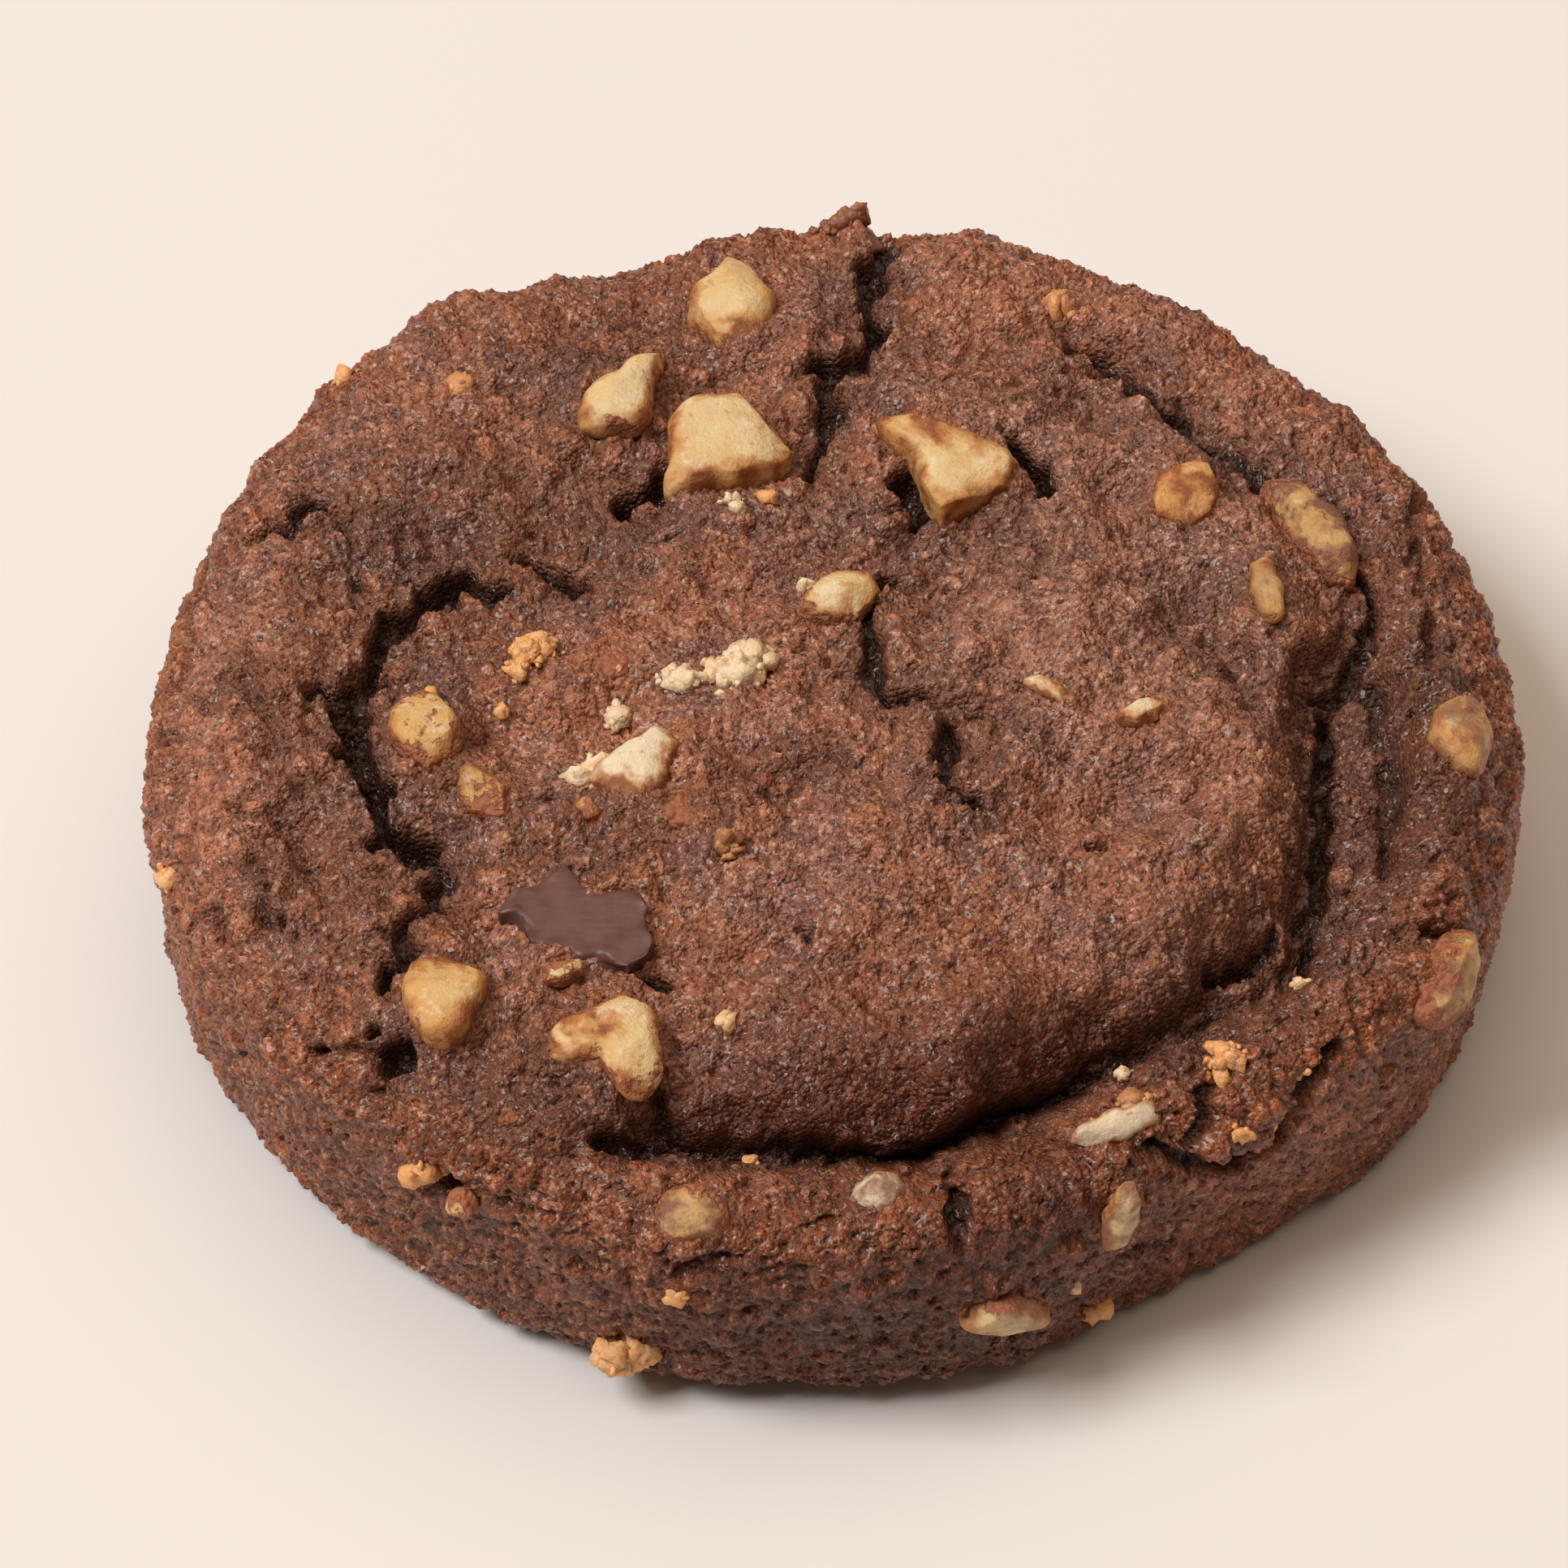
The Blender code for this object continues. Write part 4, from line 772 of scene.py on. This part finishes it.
def nut_shape(piece, number, detail):
    """Points, triangles and looks of a walnut piece."""
    unit, faces = ball(detail)
    flat, angle = polar(unit)
    level = reach_of(piece, angle) * flat ** piece["square"]
    rise = piece["half"] * np.sign(unit[:, 2]) * np.abs(unit[:, 2]) ** piece["square"]
    local = np.stack([level * np.cos(angle), level * np.sin(angle), rise], axis=1)
    local *= 1 + PIECE_NOISE * wave(local, PIECE_NOISE_SIZE, 5 * number)[:, None]
    local = broken(local, piece["cuts"], number)
    local = CHIP_GROWTH * broken(local, CHIPS, number + 50, CHIP_SHARES, CHIP_TILTS)
    ridges = RIDGE * np.abs(wave(local, RIDGE_SIZE, 3 * number + 9))
    local *= (1 + ridges + PIECE_GRAIN * wave(local, PIECE_GRAIN_SIZE, 17))[:, None]
    places = local[:, :2] + piece["place"]
    clear = clearance(places, local[:, 2] + piece["lift"], piece["place"])
    flat, angle = polar(local)
    rim = smooth(flat / reach_of(piece, angle), STAIN_RIM_START, 1)
    stain = np.maximum(1 - smooth(clear, STAIN_DEPTH, STAIN_HEIGHT), STAIN_RIM * rim)
    looks = {key: np.full(len(local), piece[key]) for key in ("gold", "coat", "shade")}
    return place_on_dough(local, piece["place"], piece["lift"]), faces, dict(looks, stain=stain)


def add_object(name, data):
    """An object of the scene that shows a mesh, light or camera."""
    obj = bpy.data.objects.new(name, data)
    bpy.context.scene.collection.objects.link(obj)
    return obj


def make_piece(name, points, faces, material, looks, slot, *nodes):
    """A smooth piece with the given points, in millimetres. It rides on the cookie and stands for its
    nodes. The slot is not used."""
    mesh = bpy.data.meshes.new(name)
    mesh.from_pydata((np.asarray(points) * MM).tolist(), [], faces)
    for key, values in looks.items():
        layer = mesh.attributes.new(key, "FLOAT", "POINT")
        layer.data.foreach_set("value", np.asarray(values, dtype=np.float32))
    mesh.materials.append(material)
    mesh.shade_smooth()
    piece = add_object(name, mesh)
    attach(piece, BODY)
    if nodes:
        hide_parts(*nodes)


def make_dough():
    """The dough's crumbly skin, as a top, a shoulder, a side and a foot."""
    material = dough_material()
    ways, ring_places = rings()
    counts = [1] + [len(ring) for ring in ring_places] + [1]
    places = np.concatenate([np.full((1, 2), 1e-6)] + ring_places + [np.array([[WAY[-1], 0]])])
    points, _, looks = on_dough(places)
    starts = np.concatenate([[0], np.cumsum(counts)])
    ways = [0] + ways + [WAY[-1]]
    bands = []
    for k in range(len(counts) - 1):
        first, after = starts[k], starts[k + 1]
        if k == 0:
            band = [(0, 1 + i, 1 + (i + 1) % counts[1]) for i in range(counts[1])]
        elif k == len(counts) - 2:
            band = [(after, first + (i + 1) % counts[k], first + i) for i in range(counts[k])]
        else:
            band = stitch(first, counts[k], after, counts[k + 1], 0.5 * ((k - 1) % 2), 0.5 * (k % 2))
        bands.append(band)
    for name, from_way, to_way in SKIN_PARTS:
        chosen = [k for k in range(len(bands)) if from_way <= ways[k] < to_way]
        low, high = starts[chosen[0]], starts[chosen[-1] + 2]
        faces = [tuple(int(v - low) for v in face) for k in chosen for face in bands[k]]
        part_looks = {key: values[low:high] for key, values in looks.items()}
        make_piece(name, points[low:high], faces, material, part_looks, "dough", "dough")


class Nodes:
    """Adds shader nodes to a material and wires them up. A value is a number, a colour, a socket
    or the name of one of the looks that the mesh carries."""

    def __init__(self, name):
        self.material = bpy.data.materials.new(name)
        self.material.use_nodes = True
        self.tree = self.material.node_tree
        self.shader = self.tree.nodes["Principled BSDF"]
        self.place = self.add("TexCoord").outputs["Object"]

    def put(self, node, inputs):
        """Set or link inputs of a node."""
        for key, value in inputs.items():
            socket = node.inputs[key]
            if isinstance(value, str):
                attribute = self.add("Attribute")
                attribute.attribute_name = value
                value = attribute.outputs["Fac"]
            if isinstance(value, bpy.types.NodeSocket):
                self.tree.links.new(value, socket)
            elif isinstance(value, tuple) and len(socket.default_value) == 4:
                socket.default_value = (*value, 1)
            else:
                socket.default_value = value

    def shade(self, inputs):
        """The material, with inputs of its shader set or linked."""
        self.put(self.shader, inputs)
        return self.material

    def add(self, kind, inputs=None, operation=None):
        """A node of a kind, that does an operation where it has one."""
        node = self.tree.nodes.new("ShaderNode" + kind)
        if operation:
            node.operation = operation
        self.put(node, inputs or {})
        return node

    def moved(self, inputs):
        """The place of a point, shifted or stretched."""
        return self.add("Mapping", {"Vector": self.place, **inputs}).outputs["Vector"]

    def noise(self, size, detail=2, roughness=0.5, stretch=None):
        """Noise with lumps of a size in millimetres."""
        place = self.moved({"Scale": stretch}) if stretch else self.place
        inputs = {"Scale": 1 / (size * MM), "Detail": detail, "Roughness": roughness}
        return self.add("TexNoise", {"Vector": place, **inputs}).outputs["Fac"]

    def grains(self, size, output="Distance", shift=0):
        """Scattered grains of a size in millimetres: the way to their middle, or a random Color."""
        place = self.moved({"Location": (shift, shift, shift)}) if shift else self.place
        return self.add("TexVoronoi", {"Vector": place, "Scale": 1 / (size * MM)}).outputs[output]

    def grain_tint(self, size, shift=0):
        """A random value, from 0 to 1, for each grain of a size in millimetres."""
        colour = self.grains(size, "Color", shift)
        return self.add("SeparateColor", {"Color": colour}).outputs["Red"]

    def vector(self, operation, inputs):
        return self.add("VectorMath", inputs, operation).outputs["Vector"]

    def facets(self, size, spread):
        """Normals that lean at random by a spread, alike over each grain of a size in millimetres."""
        normal = self.add("NewGeometry").outputs["Normal"]
        lean = self.vector("SUBTRACT", {0: self.grains(size, "Color"), 1: (0.5, 0.5, 0.5)})
        lean = self.vector("SCALE", {0: lean, "Scale": spread})
        return self.vector("NORMALIZE", {0: self.vector("ADD", {0: normal, 1: lean})})

    def ramp(self, value, low, high, end=1, start=0):
        """Map a value from low..high to start..end, smoothly."""
        limits = {"From Min": low, "From Max": high, "To Min": start, "To Max": end}
        node = self.add("MapRange", {"Value": value, **limits})
        node.interpolation_type = "SMOOTHSTEP"
        return node.outputs["Result"]

    def math(self, operation, a, b):
        return self.add("Math", {0: a, 1: b}, operation).outputs["Value"]

    def uneven(self, value, share, *look):
        """A value with noise of a look added, as strong as a share says."""
        centred = self.math("SUBTRACT", self.noise(*look), 0.5)
        return self.math("ADD", value, self.math("MULTIPLY", centred, share))

    def mix(self, share, a, b):
        """A colour between two others."""
        node = self.add("Mix")
        node.data_type = "RGBA"
        self.put(node, {0: share, 6: a, 7: b})
        return node.outputs[2]

    def layers(self, colour, *coats):
        """A colour with others laid over it, each with its share."""
        for share, coat in coats:
            colour = self.mix(share, colour, coat)
        return colour

    def bump(self, height, distance, normal=None, strength=1):
        """Bump whose height of 1 stands a distance in millimetres."""
        under = {} if normal is None else {"Normal": normal}
        inputs = {"Height": height, "Distance": distance * MM, "Strength": strength, **under}
        return self.add("Bump", inputs).outputs["Normal"]


def dough_material():
    """Baked fudge dough: brown with rusty grains, pale grains that are partly painted glints, painted
    shade in its cracks, creases and pores, patches of painted sheen, painted shade and painted light,
    and greasy glints.
    """
    n = Nodes("dough_skin")
    brown, rusty, warm = (0.45, 0.153, 0.072), (0.53, 0.185, 0.076), (0.45, 0.15, 0.05)
    cool_tone_and_sheen, grey, baked = (0.353, 0.148, 0.106), (0.5, 0.24, 0.165), (0.44, 0.1, 0.017)
    shade_and_damp, lit_and_dry = (0.14, 0.027, 0.007), (0.69, 0.245, 0.125)
    # The darkest brown is painted shade: pores, creases, cracks and holes
    pale_grain_and_glint, painted_shade = (0.78, 0.42, 0.26), (0.04, 0.012, 0.006)
    patches = n.noise(6, 3, 0.6, (1.1, 0.9, 1.3))
    shade_and_moist_share = n.math("MAXIMUM", "painted_shade_and_moist", 0)
    # Pale grains, partly pale sugar grains and partly painted glints, fewer under painted shade
    grain_and_glint_specks = n.ramp(n.grain_tint(0.3), 0.6, 1, 0.62)
    grain_and_glint_specks = n.math("MULTIPLY", grain_and_glint_specks, n.ramp(shade_and_moist_share, 0, 1, 0.3, 1))
    dull = n.ramp(patches, 0.42, 0.58, 0.28, 0.5)
    glint = n.ramp(n.noise(4.5, 3, 0.65), 0.42, 0.6, 1.5, 0.45)
    glint = n.math("MULTIPLY", glint, n.ramp("side", 0.2, 1, 0.6, 1))
    return n.shade({
        "Base Color": n.layers(
            brown,
            # a cooler grey tone in random patches, partly painted sheen where the dough is glossier
            (n.ramp(patches, 0.45, 0.6, 0.85), cool_tone_and_sheen),
            (n.ramp(n.noise(1.1, 3, 0.65), 0.5, 0.72, 0.45), rusty),
            # painted sheen on the plateau's right
            (n.ramp("grey", 0, 1, 0.5), grey),
            (n.ramp("side", 0.1, 0.9, 0.75), baked),
            # painted shade, partly moist crumb, on faces turned from the light; then painted light on
            # faces turned toward it
            (shade_and_moist_share, shade_and_damp),
            (n.ramp("painted_shade_and_moist", -1, 0, 0, 0.9), lit_and_dry),
            # pale grains, partly painted glints
            (grain_and_glint_specks, pale_grain_and_glint),
            # dark grains: painted shade of tiny pores
            (n.ramp(n.grain_tint(0.26, 0.3), 0.66, 1, 0.62), painted_shade),
            (n.ramp("warm", 0.2, 1, 0.4), warm),
            # painted shade in the creases
            (n.ramp("crease_shade", 0.2, 0.8, 0.57), painted_shade),
            # painted shade in cracks, pits, holes and the fold's trench
            (n.ramp("depth", 0.15, 1.4, 0.95), painted_shade),
        ),
        "Roughness": n.math("ADD", dull, n.ramp(n.noise(1.2, 3, 0.7), 0.4, 0.6, -0.08, 0.08)),
        "Specular IOR Level": 0.32,
        "Coat Weight": 0.4,
        "Coat Roughness": 0.13,
        "Normal": n.bump(n.grains(0.15), -0.05, n.bump(n.grains(0.3), -0.22)),
        "Coat Normal": n.facets(0.26, glint),
    })


def walnut_material():
    """Toasted walnut: pale cream to gold, with pale patches that are partly painted highlight, stained
    brown where it meets the dough.
    """
    n = Nodes("walnut_flesh")
    cream, gold, chalk_and_highlight = (0.83, 0.63, 0.335), (0.73, 0.42, 0.14), (0.92, 0.76, 0.55)
    orange, amber, film = (0.56, 0.22, 0.055), (0.3, 0.085, 0.025), (0.27, 0.105, 0.055)
    dough = (0.42, 0.142, 0.067)
    at_rim = n.math("MULTIPLY", "stain", 0.4)
    toasted = n.math("ADD", n.uneven("gold", 2, 2.4, 4, 0.62), at_rim)
    stain = n.uneven("stain", 1.8, 1.6, 3, 0.6)
    patchy = n.ramp(n.noise(1.8, 4, 0.6), 0.38, 0.62, 1.7, 0.3)
    cover = n.ramp(n.math("ADD", n.uneven("coat", 1.7, 2, 4, 0.7), at_rim), 0.58, 0.7)
    crust = n.math("MULTIPLY", n.grains(0.4), cover)
    return n.shade({
        "Base Color": n.layers(
            cream,
            (n.ramp(toasted, 0.05, 1), gold),
            (n.ramp(toasted, -1.6, -0.6, 0, 0.9), chalk_and_highlight),
            # pale patches, partly powdery breaks and partly painted highlight
            (n.ramp(n.noise(1.7, 4, 0.65), 0.56, 0.66, 0.55), chalk_and_highlight),
            (n.ramp(stain, 0.25, 0.8, 0.85), orange),
            (n.ramp(stain, 0.65, 1, 0.92), amber),
            (n.ramp(n.noise(0.9, 2, 0.6), 0.64, 0.7, 0.5), orange),
            (n.math("MULTIPLY", "shade", patchy), film),
            (cover, dough),
        ),
        "Roughness": n.ramp(n.noise(1), 0.35, 0.65, 0.58, 0.34),
        "Subsurface Weight": 0.5,
        "Subsurface Radius": (1, 0.45, 0.15),
        "Subsurface Scale": 0.0012,
        "Normal": n.bump(crust, -0.3, n.bump(n.noise(0.4, 4, 0.7), 0.22)),
    })


def chocolate_material():
    """Dark chocolate with lighter patches of painted sheen."""
    n = Nodes("chocolate_chunk")
    # Lighter patches: painted sheen
    sheen_patches = n.ramp(n.noise(2.5, 3, 0.6), 0.35, 0.65)
    return n.shade({
        "Base Color": n.mix(sheen_patches, (0.1, 0.038, 0.026), (0.15, 0.062, 0.044)),
        "Roughness": n.ramp(n.noise(1.2), 0.4, 0.6, 0.58, 0.42),
        "Normal": n.bump(n.noise(0.6, 3, 0.6, (0.5, 1.4, 1)), 0.08, strength=0.6),
    })


def make_nuts():
    """All the walnut pieces."""
    material = walnut_material()
    for number, piece in enumerate(NUTS, start=1):
        points, faces, looks = nut_shape(piece, number, NUT_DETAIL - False)
        node = f"walnut_{number:02d}"
        make_piece(node + "_piece", points, faces, material, looks, "walnut", node)


def make_chunk():
    """The chocolate: a slab with a smooth top and a broken edge."""
    slab = bmesh.new()
    outline = [slab.verts.new((x, y, 0)) for x, y in CHUNK_OUTLINE]
    floor = slab.faces.new(outline)
    raised = bmesh.ops.extrude_face_region(slab, geom=[floor])
    top = [v for v in raised["geom"] if isinstance(v, bmesh.types.BMVert)]
    bmesh.ops.translate(slab, verts=top, vec=(0, 0, CHUNK_THICKNESS))
    bmesh.ops.recalc_face_normals(slab, faces=slab.faces)
    bmesh.ops.triangulate(slab, faces=slab.faces)
    mesh = bpy.data.meshes.new("chunk_blank")
    slab.to_mesh(mesh)
    slab.free()
    blank = add_object("chunk_blank", mesh)
    remesh = blank.modifiers.new("remesh", "REMESH")
    remesh.mode = "VOXEL"
    remesh.voxel_size = CHUNK_VOXEL
    relax = blank.modifiers.new("relax", "SMOOTH")
    relax.iterations = CHUNK_RELAX
    evaluated = blank.evaluated_get(bpy.context.evaluated_depsgraph_get())
    shaped = bpy.data.meshes.new_from_object(evaluated)
    local = np.array([v.co for v in shaped.vertices])
    faces = [tuple(p.vertices) for p in shaped.polygons]
    bpy.data.objects.remove(blank)
    edge = 1 - smooth(chunk_inside(local[:, :2]), 0, CHUNK_EDGE)
    ragged = waves(local, CHUNK_WAVE_SIZE, 3, 13, 23)
    local += ragged * (CHUNK_WAVE + CHUNK_EDGE_WAVE * edge)[:, None]
    local[:, 2] += CHUNK_RISE - CHUNK_THICKNESS + local[:, :2] @ CHUNK_TILT
    points = place_on_dough(local, CHUNK_PLACE, 0)
    material = chocolate_material()
    make_piece("chocolate_piece", points, faces, material, {}, "chocolate", "chocolate_chunk")


def crumb_material():
    """Loose crumbs: cream, orange or brown by their tint."""
    n = Nodes("crumb")
    cream, orange = (0.95, 0.72, 0.46), (0.92, 0.42, 0.15)
    brown, fleck = (0.26, 0.085, 0.045), (0.5, 0.26, 0.11)
    return n.shade({
        "Base Color": n.layers(
            cream,
            (n.ramp("tint", 0, 1), orange),
            (n.ramp("tint", 1, 2), brown),
            (n.ramp(n.noise(0.5), 0.45, 0.7, 0.4), fleck),
        ),
        "Roughness": 0.5,
        "Subsurface Weight": 0.2,
        "Subsurface Radius": (1, 0.6, 0.3),
        "Subsurface Scale": 0.0006,
        "Normal": n.bump(n.noise(0.25), 0.1),
    })


def make_crumbs():
    """All the loose crumbs, as one piece made of small uneven grains over larger ones."""
    draw = np.random.default_rng(CRUMB_SEED)
    unit, unit_faces = ball(CRUMB_DETAIL)
    centres, sizes, tints = [], [], []
    for place, half_along, half_across, turn, height, size, count, tint in CRUMBS:
        cores = round(count * CRUMB_CORES)
        total = cores + round(count * CRUMB_GRAINS)
        is_core = np.arange(total) < cores
        spread = np.where(is_core, CORE_HEAP, GRAIN_HEAP)[:, None] * (half_along, half_across)
        spot = draw.normal(0, 1, (total, 2)).clip(-HEAP_LIMIT, HEAP_LIMIT) * spread
        cos, sin = np.cos(np.radians(turn)), np.sin(np.radians(turn))
        points, outward, _ = on_dough(place + spot @ np.array([[cos, sin], [-sin, cos]]))
        middle = 1 - np.clip(np.hypot(spot[:, 0] / half_along, spot[:, 1] / half_across), 0, 1)
        rise = size * GRAIN_LIFT + height * middle * draw.uniform(*GRAIN_LIFT_SHARES, total)
        rise[is_core] = height * middle[is_core] * CORE_LIFT
        centres.append(points + rise[:, None] * outward)
        grain = size * np.where(is_core, CRUMB_CORE_SIZE, CRUMB_GRAIN_SIZE)
        sizes.append(grain * (1 + CRUMB_SPREAD * draw.uniform(-1, 1, total)))
        shade = draw.uniform(-CRUMB_TINT_SPREAD, CRUMB_TINT_SPREAD, total)
        tints.append(np.clip(tint + shade, 0, 2))
    centres, sizes, tints = np.concatenate(centres), np.concatenate(sizes), np.concatenate(tints)
    points, faces = [], []
    for number, (centre, size) in enumerate(zip(centres, sizes)):
        grain = unit * draw.uniform(*CRUMB_FLATNESS, 3)
        lumps = CRUMB_LUMPS * wave(grain, CRUMB_LUMP_SIZE, 7 * number)
        points.append(centre + size * grain * (1 + lumps)[:, None])
        faces += [tuple(v + number * len(unit) for v in face) for face in unit_faces]
    looks = dict(tint=np.repeat(tints, len(unit)))
    make_piece("loose_crumbs", np.concatenate(points), faces, crumb_material(), looks, "walnut")


def make_floor():
    """A plain pale surface."""
    mesh = bpy.data.meshes.new("floor")
    corners = [(FLOOR_HALF * x, FLOOR_HALF * y, 0) for x, y in ((-1, -1), (1, -1), (1, 1), (-1, 1))]
    mesh.from_pydata(corners, [], [(0, 1, 2, 3)])
    looks = {"Base Color": FLOOR_COLOUR, "Roughness": 0.9, "Specular IOR Level": 0.1}
    mesh.materials.append(Nodes("pale_floor").shade(looks))
    add_object("floor", mesh)


def aim(obj, place, target):
    """Put a light or camera at a place, looking at a target."""
    obj.location = place
    obj.rotation_euler = (Vector(place) - Vector(target)).to_track_quat("Z", "Y").to_euler()


def make_light(name, rise, side, distance, size, power, colour):
    """A square soft light that shines on the cookie."""
    data = bpy.data.lights.new(name, "AREA")
    data.size = size
    data.energy = power
    data.color = colour
    rise, side = np.radians(rise), np.radians(side)
    way = Vector((np.cos(rise) * np.cos(side), np.cos(rise) * np.sin(side), np.sin(rise)))
    aim(add_object(name, data), distance * way, (0, 0, 0))


def make_lights():
    """The two soft lights and the room's even glow."""
    for light in LIGHTS:
        make_light(*light)
    world = bpy.data.worlds.new("room")
    world.use_nodes = True
    glow = world.node_tree.nodes["Background"]
    glow.inputs["Color"].default_value = (*GLOW_COLOUR, 1)
    glow.inputs["Strength"].default_value = GLOW
    bpy.context.scene.world = world


def make_camera():
    """The camera at the photograph's viewing angle."""
    data = bpy.data.cameras.new("camera")
    data.sensor_width = SENSOR
    data.sensor_height = SENSOR
    data.lens = LENS
    data.clip_start = 0.01
    camera = add_object("camera", data)
    rise = np.radians(CAMERA_RISE)
    target = Vector(CAMERA_TARGET) * MM
    back = Vector((0, -np.cos(rise), np.sin(rise)))
    aim(camera, target + back * CAMERA_DISTANCE * MM, target)
    bpy.context.scene.camera = camera


make_dough()
make_nuts()
make_chunk()
make_crumbs()
make_floor()
make_lights()
make_camera()
bpy.context.scene.view_settings.view_transform = "Standard"
